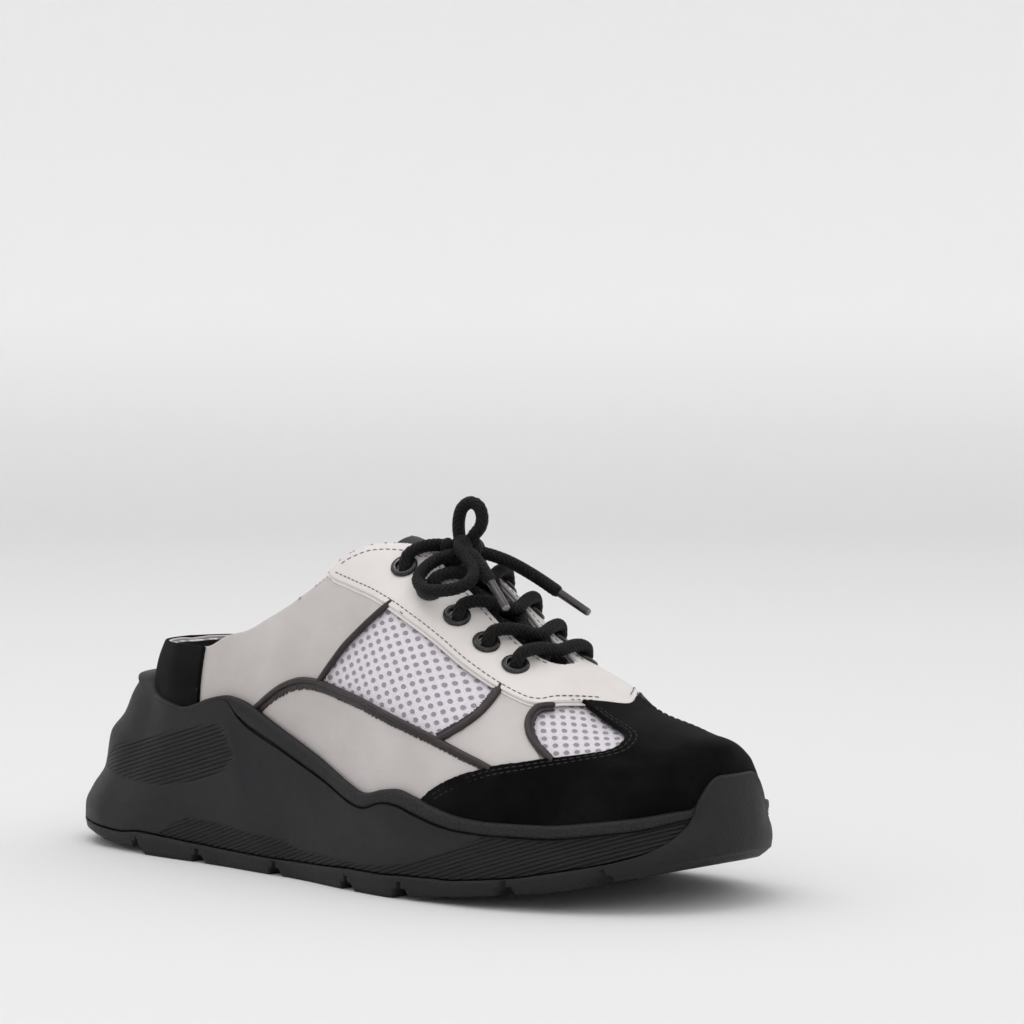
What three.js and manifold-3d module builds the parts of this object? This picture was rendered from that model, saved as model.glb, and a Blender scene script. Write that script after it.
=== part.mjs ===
// Sneaker mule, right foot: a lace-up leather and mesh upper with a low open back
// on a thick moulded sole. Millimetres, +X to the toe, +Z up, outer side of the foot
// on -Y, standing on z = 0.
import * as THREE from 'three';
import { mergeVertices } from 'three/addons/utils/BufferGeometryUtils.js';
import Module from 'manifold-3d';

const wasm = await Module();
wasm.setup();

// Driving dimensions of the last and the upper
const upperLength = 245; // outside of the upper, heel back to toe, at the feather edge
const upperBallWidth = 91.8; // outside of the upper across the ball
const instepHeight = 113; // crown of the last over the first eyelets
const collarHeight = 73.5; // top of the low back
const earHeight = 110; // highest point of the collar, beside the throat
const heelLean = 38; // how far the closed last would lean in over the heel
const upperWall = 2.0;
const overlayThickness = 1.2;
const fitGap = 0.3; // between pieces that touch

// Driving dimensions of the sole
const heelOverhang = 34; // sole beyond the upper at the back
const toeOverhang = 6;
const sideOverhang = 7.1;
const sideHeight = 66; // top of the sole's rim at the heel back
const bumperHeight = 41; // top of the toe bumper
const bumperThickness = 2.4;
const treadHeight = 7; // outsole rubber at mid-foot
const toeSpring = 16;
const heelBevel = 2.4; // lift of the last heel lug
const edgeInset = 6.5; // underside edge drawn in from the widest outline
const lipWidth = 2.7; // top of the rim beside the upper
const beadHeight = 6; // rounded rim bead above its groove
const grooveDepth = 1.0;
const footbedHeel = 42;
const footbedBall = 20;
const insoleThickness = 3;
const lugGrooveWidth = 7;
const lugGrooveDepth = 2.8;
const lugSlitWidth = 2;
const lugSlitDepth = 5;
const channelWidth = 9;
const channelDepth = 1.8;

// Driving dimensions of the tongue, trim and lace
const tongueThickness = 3;
const tongueWidth = 46;
const throatWidth = 18.5; // at its middle
const pipingDiameter = 2.2;
const pipingSeat = 0.68; // clearance of the piping's straight steps over the curved upper
const eyeletDiameter = 9.3;
const eyeletHole = 5.6;
const eyeletThickness = 0.9;
const eyeletSlope = 0.5; // its outer edge's run up to the top
const laceDiameter = 4.2;
const agletDiameter = 2.8;
const agletLength = 14;
const knotLength = 15;

// Derived sizes
const soleLength = heelOverhang + upperLength + toeOverhang;
const soleBack = -soleLength / 2;
const upperBack = soleBack + heelOverhang;
const upperHalf = upperBallWidth / 2;
const soleHalf = upperHalf + sideOverhang;
const overlayInner = fitGap;
const overlayOuter = fitGap + overlayThickness;

const colours = {
  leather: { color: 0xc8c3c1, roughness: 0.6, metalness: 0 },
  eyestay: { color: 0xdcd6d5, roughness: 0.55, metalness: 0 },
  suede: { color: 0x111112, roughness: 0.95, metalness: 0 },
  rubber: { color: 0x2c2a2e, roughness: 0.7, metalness: 0 },
  textile: { color: 0x161616, roughness: 0.9, metalness: 0 },
  piping: { color: 0x2a2323, roughness: 0.5, metalness: 0 },
  metal: { color: 0x0c0c0c, roughness: 0.3, metalness: 0.6 },
  aglet: { color: 0x1d191b, roughness: 0.2, metalness: 0 },
};

// Plan of the sole at its widest: at is a share of the sole's length, middle and half of
// its half width.
const solePlan = [
  { at: 0.0, middle: 0.0, half: 0.0 },
  { at: 0.05, middle: 0.0, half: 0.58 },
  { at: 0.12, middle: 0.0, half: 0.755 },
  { at: 0.22, middle: -0.01, half: 0.8 },
  { at: 0.34, middle: -0.03, half: 0.785 },
  { at: 0.46, middle: -0.07, half: 0.79 },
  { at: 0.58, middle: -0.07, half: 0.89 },
  { at: 0.68, middle: -0.03, half: 0.98 },
  { at: 0.77, middle: 0.02, half: 1.0 },
  { at: 0.86, middle: 0.07, half: 0.91 },
  { at: 0.93, middle: 0.11, half: 0.72 },
  { at: 0.975, middle: 0.13, half: 0.47 },
  { at: 1.0, middle: 0.14, half: 0.0 },
];

// Heights along the sole: rim of sideHeight, spring of toeSpring, tread of treadHeight
// above the floor line, edge of edgeInset, bead of beadHeight.
const soleSide = [
  { at: 0.0, rim: 0.945, spring: 0.0, tread: 1.25, edge: 1.9, bead: 0.0 },
  { at: 0.03, rim: 0.938, spring: 0.0, tread: 1.23, edge: 1.35, bead: 0.0 },
  { at: 0.05, rim: 0.925, spring: 0.0, tread: 1.2, edge: 1.0, bead: 0.0 },
  { at: 0.09, rim: 0.885, spring: 0.0, tread: 1.12, edge: 0.6, bead: 0.0 },
  { at: 0.155, rim: 0.838, spring: 0.0, tread: 0.98, edge: 0.3, bead: 0.0 },
  { at: 0.2, rim: 0.823, spring: 0.0, tread: 1.13, edge: 0.22, bead: 0.0 },
  { at: 0.24, rim: 0.807, spring: 0.0, tread: 1.07, edge: 0.2, bead: 0.0 },
  { at: 0.285, rim: 0.791, spring: 0.0, tread: 0.98, edge: 0.2, bead: 0.0 },
  { at: 0.32, rim: 0.814, spring: 0.0, tread: 0.92, edge: 0.2, bead: 0.0 },
  { at: 0.355, rim: 0.853, spring: 0.0, tread: 0.87, edge: 0.2, bead: 0.0 },
  { at: 0.392, rim: 0.874, spring: 0.0, tread: 0.845, edge: 0.2, bead: 0.25 },
  { at: 0.42, rim: 0.86, spring: 0.0, tread: 0.83, edge: 0.2, bead: 1.1 },
  { at: 0.443, rim: 0.834, spring: 0.0, tread: 0.82, edge: 0.2, bead: 1.35 },
  { at: 0.463, rim: 0.801, spring: 0.0, tread: 0.825, edge: 0.2, bead: 1.33 },
  { at: 0.5, rim: 0.735, spring: 0.0, tread: 0.86, edge: 0.2, bead: 1.17 },
  { at: 0.54, rim: 0.668, spring: 0.0, tread: 0.92, edge: 0.2, bead: 1.12 },
  { at: 0.575, rim: 0.604, spring: 0.0, tread: 0.99, edge: 0.2, bead: 1.03 },
  { at: 0.6, rim: 0.558, spring: 0.0, tread: 1.04, edge: 0.2, bead: 0.98 },
  { at: 0.63, rim: 0.51, spring: 0.0, tread: 1.04, edge: 0.2, bead: 0.97 },
  { at: 0.656, rim: 0.477, spring: 0.0, tread: 1.04, edge: 0.2, bead: 0.85 },
  { at: 0.685, rim: 0.506, spring: 0.05, tread: 1.0, edge: 0.2, bead: 0.74 },
  { at: 0.706, rim: 0.518, spring: 0.09, tread: 0.92, edge: 0.21, bead: 0.9 },
  { at: 0.73, rim: 0.494, spring: 0.13, tread: 0.86, edge: 0.22, bead: 0.98 },
  { at: 0.76, rim: 0.452, spring: 0.18, tread: 0.76, edge: 0.24, bead: 0.92 },
  { at: 0.79, rim: 0.42, spring: 0.235, tread: 0.76, edge: 0.25, bead: 0.8 },
  { at: 0.83, rim: 0.406, spring: 0.31, tread: 0.77, edge: 0.27, bead: 0.73 },
  { at: 0.88, rim: 0.407, spring: 0.43, tread: 0.88, edge: 0.3, bead: 0.75 },
  { at: 0.93, rim: 0.43, spring: 0.62, tread: 0.9, edge: 0.42, bead: 0.71 },
  { at: 0.965, rim: 0.454, spring: 0.78, tread: 0.82, edge: 0.6, bead: 0.66 },
  { at: 0.985, rim: 0.475, spring: 0.88, tread: 0.76, edge: 0.85, bead: 0.5 },
  { at: 1.0, rim: 0.485, spring: 0.95, tread: 0.7, edge: 1.15, bead: 0.2 },
];

// Wall of the sole between the tread line and the rim: rise is a share of that height,
// back and side the way in from the widest outline to the rim's outline.
const soleWall = [
  { rise: 0.0, back: 0.0, side: 0.06 },
  { rise: 0.1, back: 0.01, side: 0.0 },
  { rise: 0.22, back: 0.12, side: 0.05 },
  { rise: 0.37, back: 0.31, side: 0.2 },
  { rise: 0.6, back: 0.385, side: 0.55 },
  { rise: 0.74, back: 0.59, side: 0.74 },
  { rise: 0.89, back: 0.72, side: 0.9 },
];

// Sections of the upper: at is a share of its length; middle, half and ridge of its half
// width; base of sideHeight; crown of instepHeight; lean of heelLean; footbed runs from
// the ball's height (0) to the heel's (1).
const upperSections = [
  { at: 0.0, middle: 0.0, half: 0.0, ridge: 0.0, base: 0.88, crown: 0.8, lean: 1.0, footbed: 1.0 },
  { at: 0.035, middle: 0.0, half: 0.438, ridge: 0.0, base: 0.86, crown: 0.82, lean: 0.8, footbed: 0.98 },
  { at: 0.067, middle: 0.0, half: 0.556, ridge: 0.0, base: 0.84, crown: 0.84, lean: 0.65, footbed: 0.96 },
  { at: 0.116, middle: -0.01, half: 0.654, ridge: 0.0, base: 0.8, crown: 0.88, lean: 0.43, footbed: 0.93 },
  { at: 0.19, middle: -0.02, half: 0.693, ridge: 0.0, base: 0.74, crown: 0.95, lean: 0.2, footbed: 0.86 },
  { at: 0.263, middle: -0.035, half: 0.702, ridge: 0.0, base: 0.68, crown: 1.025, lean: 0.07, footbed: 0.76 },
  { at: 0.361, middle: -0.06, half: 0.72, ridge: 0.0, base: 0.61, crown: 1.07, lean: 0.0, footbed: 0.55 },
  { at: 0.443, middle: -0.08, half: 0.75, ridge: 0.0, base: 0.54, crown: 1.046, lean: 0.0, footbed: 0.36 },
  { at: 0.484, middle: -0.08, half: 0.785, ridge: 0.0, base: 0.5, crown: 1.026, lean: 0.0, footbed: 0.27 },
  { at: 0.533, middle: -0.08, half: 0.855, ridge: 0.0, base: 0.46, crown: 0.98, lean: 0.0, footbed: 0.17 },
  { at: 0.578, middle: -0.07, half: 0.905, ridge: 0.0, base: 0.43, crown: 0.911, lean: 0.0, footbed: 0.09 },
  { at: 0.627, middle: -0.05, half: 0.95, ridge: 0.0, base: 0.41, crown: 0.828, lean: 0.0, footbed: 0.03 },
  { at: 0.676, middle: -0.03, half: 0.98, ridge: 0.0, base: 0.39, crown: 0.737, lean: 0.0, footbed: 0.0 },
  { at: 0.72, middle: -0.01, half: 0.995, ridge: 0.02, base: 0.38, crown: 0.672, lean: 0.0, footbed: 0.0 },
  { at: 0.769, middle: 0.02, half: 1.0, ridge: 0.05, base: 0.37, crown: 0.622, lean: 0.0, footbed: 0.01 },
  { at: 0.818, middle: 0.05, half: 0.965, ridge: 0.08, base: 0.37, crown: 0.56, lean: 0.0, footbed: 0.03 },
  { at: 0.862, middle: 0.08, half: 0.91, ridge: 0.1, base: 0.37, crown: 0.51, lean: 0.0, footbed: 0.06 },
  { at: 0.903, middle: 0.11, half: 0.835, ridge: 0.13, base: 0.37, crown: 0.485, lean: 0.0, footbed: 0.1 },
  { at: 0.943, middle: 0.14, half: 0.715, ridge: 0.16, base: 0.38, crown: 0.461, lean: 0.0, footbed: 0.15 },
  { at: 0.97, middle: 0.17, half: 0.56, ridge: 0.18, base: 0.39, crown: 0.451, lean: 0.0, footbed: 0.18 },
  { at: 0.988, middle: 0.19, half: 0.38, ridge: 0.2, base: 0.4, crown: 0.434, lean: 0.0, footbed: 0.2 },
  { at: 1.0, middle: 0.2, half: 0.0, ridge: 0.2, base: 0.41, crown: 0.395, lean: 0.0, footbed: 0.22 },
];

// Which share of the upper's plan each share of the sole's plan faces.
const facing = [
  { at: 0.0, share: 0.0 },
  { at: 0.05, share: 0.028 },
  { at: 0.12, share: 0.058 },
  { at: 0.2, share: 0.094 },
  { at: 1.0, share: 1.0 },
];

// Where the sections of the meshes lie, dense where the outline turns.
const soleStations = [
  0, 0.006, 0.022, 0.05, 0.09, 0.13, 0.185, 0.2, 0.24, 0.285, 0.32, 0.355, 0.392, 0.42, 0.45, 0.5,
  0.56, 0.61, 0.635, 0.658, 0.685, 0.706, 0.74, 0.79, 0.85, 0.91, 0.955, 0.985, 0.9925, 0.9965, 1,
];
const upperStations = [
  0, 0.007, 0.03, 0.067, 0.116, 0.19, 0.263, 0.33, 0.39, 0.44, 0.49, 0.54, 0.59, 0.64, 0.69, 0.74, 0.79,
  0.84, 0.885, 0.925, 0.96, 0.985, 1,
];
const sectionLevels = [0, 0.22, 0.4, 0.56, 0.7, 0.84, 1]; // shares of the quarter turn

// Smooth curve through the rows of a table: a cubic with slopes that never overshoot.
function along(table, column, at, shape = (value) => value) {
  const last = table.length - 1;
  const place = Math.min(Math.max(at, table[0].at), table[last].at);
  const rise = (i) => (shape(table[i + 1][column]) - shape(table[i][column])) / width(i);
  const width = (i) => table[i + 1].at - table[i].at;
  const slope = (i) => {
    if (i === 0) return rise(0);
    if (i === last) return rise(last - 1);
    const before = rise(i - 1);
    const after = rise(i);
    if (before * after <= 0) return 0;
    const w1 = 2 * width(i) + width(i - 1);
    const w2 = width(i) + 2 * width(i - 1);
    return (w1 + w2) / (w1 / before + w2 / after);
  };
  let i = 0;
  while (i < last - 1 && place >= table[i + 1].at) i += 1;
  const h = width(i);
  const t = (place - table[i].at) / h;
  const start = shape(table[i][column]) * (1 + 2 * t) * (1 - t) ** 2 + slope(i) * h * t * (1 - t) ** 2;
  const end = shape(table[i + 1][column]) * t * t * (3 - 2 * t) + slope(i + 1) * h * t * t * (t - 1);
  return start + end;
}

// Half widths are curved as squares, which makes the ends of an outline round.
const halfAlong = (table, at) => Math.sqrt(Math.max(along(table, 'half', at, (v) => v * v), 0));

// Point of a closed plan outline and its unit normal into the shoe.
function outlinePoint(plan, back, length, half, at, side) {
  const place = (share) => {
    const t = Math.min(Math.max(share, 0), 1);
    return new THREE.Vector2(
      back + t * length,
      (along(plan, 'middle', t) + side * halfAlong(plan, t)) * half,
    );
  };
  const point = place(at);
  const step = 1e-4;
  const ahead = place(at + step).sub(place(at - step)).normalize();
  const end = at < step ? 1 : at > 1 - step ? -1 : 0;
  const normal = end !== 0
    ? new THREE.Vector2(end, 0)
    : new THREE.Vector2(side * ahead.y, -side * ahead.x);
  return { point, normal };
}

const soleOutline = (at, side) => outlinePoint(solePlan, soleBack, soleLength, soleHalf, at, side);
const upperOutline = (at, side, outward) => {
  const { point, normal } = outlinePoint(upperSections, upperBack, upperLength, upperHalf, at, side);
  return point.addScaledVector(normal, -outward);
};

// Heights of the sole at a share of its length.
const springAt = (at) => along(soleSide, 'spring', at) * toeSpring;
const heelLift = (at) => heelBevel * THREE.MathUtils.clamp((0.2 - at) / 0.015, 0, 1);
const floorAt = (at) => springAt(at) + heelLift(at);
const treadAt = (at) => springAt(at) + along(soleSide, 'tread', at) * treadHeight;
const toeRise = (at) => THREE.MathUtils.smoothstep(at, 0.989, 0.9985);
const rimAt = (at) => {
  const side = along(soleSide, 'rim', at) * sideHeight;
  return side + (bumperHeight - side) * toeRise(at);
};
const footbedAt = (at) => footbedBall + (footbedHeel - footbedBall) * along(upperSections, 'footbed', at);

// Closed mesh from rings of equal count, each ring running from the heel back along the
// outer side to the toe and home along the inner side. Both ends are closed across.
function solidOfRings(rings) {
  const count = rings[0].length;
  const positions = rings.flat().flatMap((p) => [p.x, p.y, p.z]);
  const index = [];
  for (let k = 0; k + 1 < rings.length; k += 1) {
    for (let i = 0; i < count; i += 1) {
      const next = (i + 1) % count;
      const a = k * count + i;
      const b = k * count + next;
      index.push(a, b, b + count, a, b + count, a + count);
    }
  }
  const cap = (first, flip) => {
    const push = (a, b, c) => {
      if (flip) index.push(first + a, first + c, first + b);
      else index.push(first + a, first + b, first + c);
    };
    for (let i = 0; i < count / 2; i += 1) {
      const far = (count - i) % count;
      const farNext = count - i - 1;
      if (i !== farNext && i + 1 !== farNext) push(i, i + 1, farNext);
      if (i !== far) push(i, farNext, far);
    }
  };
  cap(0, true);
  cap((rings.length - 1) * count, false);
  const geometry = new THREE.BufferGeometry();
  geometry.setAttribute('position', new THREE.Float32BufferAttribute(positions, 3));
  geometry.setIndex(index);
  return geometry;
}

function toSolid(geometry) {
  const bare = geometry.clone();
  for (const name of Object.keys(bare.attributes)) {
    if (name !== 'position') bare.deleteAttribute(name);
  }
  const merged = mergeVertices(bare, 1e-4);
  const index = merged.index.array;
  const faces = [];
  for (let i = 0; i < index.length; i += 3) {
    const [a, b, c] = [index[i], index[i + 1], index[i + 2]];
    if (a !== b && b !== c && c !== a) faces.push(a, b, c);
  }
  return new wasm.Manifold(new wasm.Mesh({
    numProp: 3,
    vertProperties: Float32Array.from(merged.attributes.position.array),
    triVerts: Uint32Array.from(faces),
  }));
}

function toGeometry(solid) {
  const mesh = solid.getMesh();
  const geometry = new THREE.BufferGeometry();
  geometry.setAttribute('position', new THREE.BufferAttribute(Float32Array.from(mesh.vertProperties), 3));
  geometry.setIndex(new THREE.BufferAttribute(Uint32Array.from(mesh.triVerts), 1));
  return geometry;
}

// Prisms that cut: an outline seen from the side, run across the shoe, and one seen from
// above, run up through it.
const beyond = 5; // how far a cutter reaches past the solid it cuts
const cutterReach = 2 * soleHalf;
function sidePrism(points, halfDepth = cutterReach) {
  const shape = new THREE.Shape(points.map(([x, z]) => new THREE.Vector2(x, z)));
  const geometry = new THREE.ExtrudeGeometry(shape, { depth: 2 * halfDepth, bevelEnabled: false });
  return toSolid(geometry.translate(0, 0, -halfDepth).rotateX(Math.PI / 2));
}
function planPrism(points, bottom = -beyond, top = 2 * instepHeight) {
  const shape = new THREE.Shape(points.map(([x, y]) => new THREE.Vector2(x, y)));
  const geometry = new THREE.ExtrudeGeometry(shape, { depth: top - bottom, bevelEnabled: false });
  return toSolid(geometry.translate(0, 0, bottom));
}

function ringFrom(stations, place) {
  const outer = stations.map((at) => place(at, -1));
  const inner = stations.slice(1, -1).reverse().map((at) => place(at, 1));
  return [...outer, ...inner];
}

// Fine shape of the sole's wall: the underside's edge turns up over edgeTurn of the tread;
// the heel's wall blends into the side's between the two shares of heelBlend; the groove
// under the bead stands in, and the bead bulges out, by shares of grooveDepth.
const edgeTurn = 0.45;
const edgeRest = 0.1; // share of the edge's inset left above that turn
const heelBlend = [0.02, 0.24];
const grooveMiddle = 0.25; // height of the groove's middle over the wall's top
const grooveHalf = 0.45;
const beadBulge = 0.4;
const beadTop = 0.9; // rounded shoulder of the rim
const rimRounding = 0.5;
const rimDraw = 0.3; // way in of the rim over the groove, as a share of its depth
const wallIn = { groove: 0.95, heelGroove: 0.8, bead: 0.96 }; // way in to the rim's outline

// Full body of the sole from the floor to the rim, without the room for the foot;
// inset draws its wall in, and lift raises its top.
function soleForm(inset = 0, lift = 0) {
  const wallPoint = (at, side, inward, height, drawn) => {
    const { point, normal } = soleOutline(at, side);
    const share = along(facing, 'share', at);
    const rim = upperOutline(share, side, fitGap + lipWidth);
    const place = point.clone().lerp(rim, inward).addScaledVector(normal, inset + drawn);
    return new THREE.Vector3(place.x, place.y, height);
  };
  const beadAt = (at) => along(soleSide, 'bead', at) * beadHeight * (1 - toeRise(at));
  const grooveAt = (at) => grooveDepth * Math.min(1, along(soleSide, 'bead', at)) * (1 - toeRise(at));
  const wallTop = (at) => rimAt(at) - Math.max(beadAt(at), beadTop + fitGap);
  const backShare = (at) => 1 - THREE.MathUtils.smoothstep(at, ...heelBlend);
  const edgeAt = (at) => along(soleSide, 'edge', at) * edgeInset;
  const edgeHeight = (at) => THREE.MathUtils.lerp(floorAt(at), treadAt(at), edgeTurn);
  const level = (height, inward, drawn) => ringFrom(soleStations, (at, side) => (
    wallPoint(at, side, inward(at), height(at), drawn(at))));
  const none = () => 0;
  const rings = [
    level((at) => floorAt(at) - lift, none, edgeAt),
    level(edgeHeight, none, (at) => edgeRest * edgeAt(at)),
  ];
  for (const row of soleWall) {
    const height = (at) => THREE.MathUtils.lerp(treadAt(at), wallTop(at), row.rise);
    rings.push(level(height, (at) => THREE.MathUtils.lerp(row.side, row.back, backShare(at)), none));
  }
  const nearTop = (at) => THREE.MathUtils.lerp(wallIn.groove, wallIn.heelGroove, backShare(at));
  const bulge = (at) => -beadBulge * grooveAt(at);
  rings.push(level((at) => wallTop(at) + grooveMiddle - grooveHalf, nearTop, grooveAt));
  rings.push(level((at) => wallTop(at) + grooveMiddle + grooveHalf, nearTop, bulge));
  rings.push(level((at) => rimAt(at) - beadTop + lift, () => wallIn.bead, bulge));
  rings.push(level((at) => rimAt(at) + lift, () => 1, (at) => rimRounding + rimDraw * grooveAt(at)));
  return toSolid(solidOfRings(rings));
}

// Point of the closed last's surface. turn runs from 0 at the feather edge to 1 at the
// crown; outward is the distance outside the upper's own surface.
const steepestCrown = 1.6; // most that a slope stretches the distance along +Z
function lastPoint(at, side, turn, outward) {
  const base = upperOutline(at, side, outward);
  const angle = (turn * Math.PI) / 2;
  const wide = Math.cos(angle);
  const high = Math.sin(angle);
  const step = 1e-3;
  const crownAt = (share) => along(upperSections, 'crown', share) * instepHeight;
  const slope = (crownAt(at + step) - crownAt(at - step)) / (2 * step * upperLength);
  const crown = crownAt(at) + outward * Math.min(Math.hypot(1, slope), steepestCrown);
  const spine = upperBack - outward + at * (upperLength + 2 * outward);
  const ridge = along(upperSections, 'ridge', at) * upperHalf;
  const foot = along(upperSections, 'base', at) * sideHeight;
  return new THREE.Vector3(
    THREE.MathUtils.lerp(spine, base.x, wide) + along(upperSections, 'lean', at) * heelLean * (1 - wide),
    THREE.MathUtils.lerp(ridge, base.y, wide),
    foot + (crown - foot) * high,
  );
}

function lastForm(outward, drop = 0) {
  const rings = [ringFrom(upperStations, (at, side) => {
    const base = upperOutline(at, side, outward);
    return new THREE.Vector3(base.x, base.y, footbedAt(at) + fitGap - drop);
  })];
  for (const turn of sectionLevels) {
    rings.push(ringFrom(upperStations, (at, side) => lastPoint(at, side, turn, outward)));
  }
  return toSolid(solidOfRings(rings));
}

// Straight-sided plug with the upper's plan, from the footbed up.
function footPlug(outward, lift, top) {
  const at = (height) => ringFrom(upperStations, (share, side) => {
    const base = upperOutline(share, side, outward);
    return new THREE.Vector3(base.x, base.y, height(share));
  });
  return toSolid(solidOfRings([at((share) => footbedAt(share) + lift), at(top)]));
}

// Places on the side view, as shares of the upper's length and of a named height.
const alongUpper = (share) => upperBack + share * upperLength;
const collarLine = [
  { at: -0.05, low: 1, ear: 0 },
  { at: 0.18, low: 1, ear: 0 },
  { at: 0.225, low: 0.88, ear: 0.12 },
  { at: 0.263, low: 0.82, ear: 0.18 },
  { at: 0.3, low: 0.72, ear: 0.28 },
  { at: 0.338, low: 0.59, ear: 0.41 },
  { at: 0.372, low: 0.45, ear: 0.55 },
  { at: 0.402, low: 0.3, ear: 0.7 },
  { at: 0.413, low: 0.23, ear: 0.77 },
  { at: 0.424, low: 0.14, ear: 0.86 },
  { at: 0.444, low: 0.06, ear: 0.94 },
  { at: 0.468, low: 0.01, ear: 0.99 },
  { at: 0.49, low: 0, ear: 1 },
  { at: 0.522, low: 0.015, ear: 0.985 },
  { at: 0.545, low: 0.07, ear: 0.93 },
].map(({ at, low, ear }) => [alongUpper(at), low * collarHeight + ear * earHeight]);
const collarCutter = () => sidePrism([
  ...collarLine,
  [alongUpper(0.56), 2 * instepHeight],
  [alongUpper(-0.05), 2 * instepHeight],
]);

// Throat opening seen from above: parallel sides, drawing in to a round front end.
const throatShape = [
  { at: 0.35, half: 1.15 },
  { at: 0.53, half: 1.1 },
  { at: 0.62, half: 1.02 },
  { at: 0.68, half: 0.9 },
  { at: 0.72, half: 0.77 },
  { at: 0.742, half: 0.62 },
  { at: 0.754, half: 0.36 },
];
const mirrored = (rows, place) => [
  ...rows.map((row) => place(row, -1)),
  ...[...rows].reverse().map((row) => place(row, 1)),
];
const throatCutter = () => planPrism(
  mirrored(throatShape, ({ at, half }, side) => [alongUpper(at), (side * half * throatWidth) / 2]),
);

// Lower edge of the eyestay seen from the side, and its rounded front seen from above.
const eyestayEdge = [
  { at: 0.38, height: 0.895 },
  { at: 0.422, height: 0.877 },
  { at: 0.478, height: 0.85 },
  { at: 0.537, height: 0.813 },
  { at: 0.598, height: 0.753 },
  { at: 0.65, height: 0.688 },
  { at: 0.7, height: 0.621 },
  { at: 0.73, height: 0.587 },
  { at: 0.755, height: 0.563 },
  { at: 0.8, height: 0.535 },
  { at: 0.86, height: 0.5 },
];
const eyestayFront = [
  { at: 0.3, half: 0.8 },
  { at: 0.745, half: 0.8 },
  { at: 0.765, half: 0.585 },
  { at: 0.788, half: 0.475 },
  { at: 0.803, half: 0.36 },
  { at: 0.823, half: 0.2 },
  { at: 0.838, half: 0.07 },
];
const eyestayShift = 2; // of its front, towards the inner side
function eyestayRegion(margin) {
  const side = sidePrism([
    ...eyestayEdge.map(({ at, height }) => [alongUpper(at), height * instepHeight - margin]),
    [alongUpper(0.86), 2 * instepHeight],
    [alongUpper(0.38), 2 * instepHeight],
  ]);
  const front = planPrism(mirrored(eyestayFront, ({ at, half }, way) => [
    alongUpper(at) + margin,
    way * (half * upperHalf + margin) + eyestayShift,
  ]));
  return side.intersect(front);
}

// Upper edge of the toe cap seen from the side, and the strip that climbs the crown.
const capEdge = [
  { at: 0.63, height: 0.2 },
  { at: 0.66, height: 0.276 },
  { at: 0.7, height: 0.325 },
  { at: 0.745, height: 0.358 },
  { at: 0.81, height: 0.382 },
  { at: 0.858, height: 0.402 },
  { at: 0.895, height: 0.431 },
  { at: 0.91, height: 0.457 },
  { at: 0.917, height: 0.49 },
];
const capStrip = [
  { at: 0.79, half: 0.3 },
  { at: 0.86, half: 0.37 },
  { at: 0.897, half: 0.38 },
  { at: 0.912, half: 0.46 },
  { at: 0.93, half: 0.7 },
];

// Lace holes: five each side of the throat. slip is how far the lace's bar between the
// two holes of a row slides down the instep, as a share of the most.
const eyeletRows = [
  { at: 0.534, turn: 0.707, slip: 1.0 },
  { at: 0.583, turn: 0.714, slip: 1.0 },
  { at: 0.631, turn: 0.724, slip: 1.0 },
  { at: 0.678, turn: 0.748, slip: 0.8 },
  { at: 0.7235, turn: 0.76, slip: 0.3 },
];
function seatOn(at, side, turn, outward) {
  const point = lastPoint(at, side, turn, outward);
  const step = 0.01;
  const ahead = lastPoint(at + step, side, turn, outward).sub(lastPoint(at - step, side, turn, outward));
  const up = lastPoint(at, side, turn + step, outward).sub(lastPoint(at, side, turn - step, outward));
  const normal = ahead.cross(up).normalize().multiplyScalar(-side);
  return { point, normal };
}
function turnedTo(geometry, point, direction) {
  const turn = new THREE.Quaternion().setFromUnitVectors(new THREE.Vector3(0, 0, 1), direction);
  return geometry.applyQuaternion(turn).translate(point.x, point.y, point.z);
}
function rod(radius, length, sides) {
  return new THREE.CylinderGeometry(radius, radius, length, sides).rotateX(Math.PI / 2);
}

// Tube along a hand-placed route, closed at both ends.
function tube(points, diameter, steps, sides = 7) {
  const section = new THREE.Shape();
  for (let i = 0; i < sides; i += 1) {
    const angle = (2 * Math.PI * i) / sides;
    const corner = [(diameter / 2) * Math.cos(angle), (diameter / 2) * Math.sin(angle)];
    if (i === 0) section.moveTo(...corner);
    else section.lineTo(...corner);
  }
  section.closePath();
  const route = new THREE.CatmullRomCurve3(points, false, 'centripetal');
  return new THREE.ExtrudeGeometry(section, { steps, bevelEnabled: false, extrudePath: route });
}

const shoe = new THREE.Group();
function add(name, geometry, look) {
  const mesh = new THREE.Mesh(geometry, new THREE.MeshStandardMaterial(look));
  mesh.name = name;
  shoe.add(mesh);
}

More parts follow.
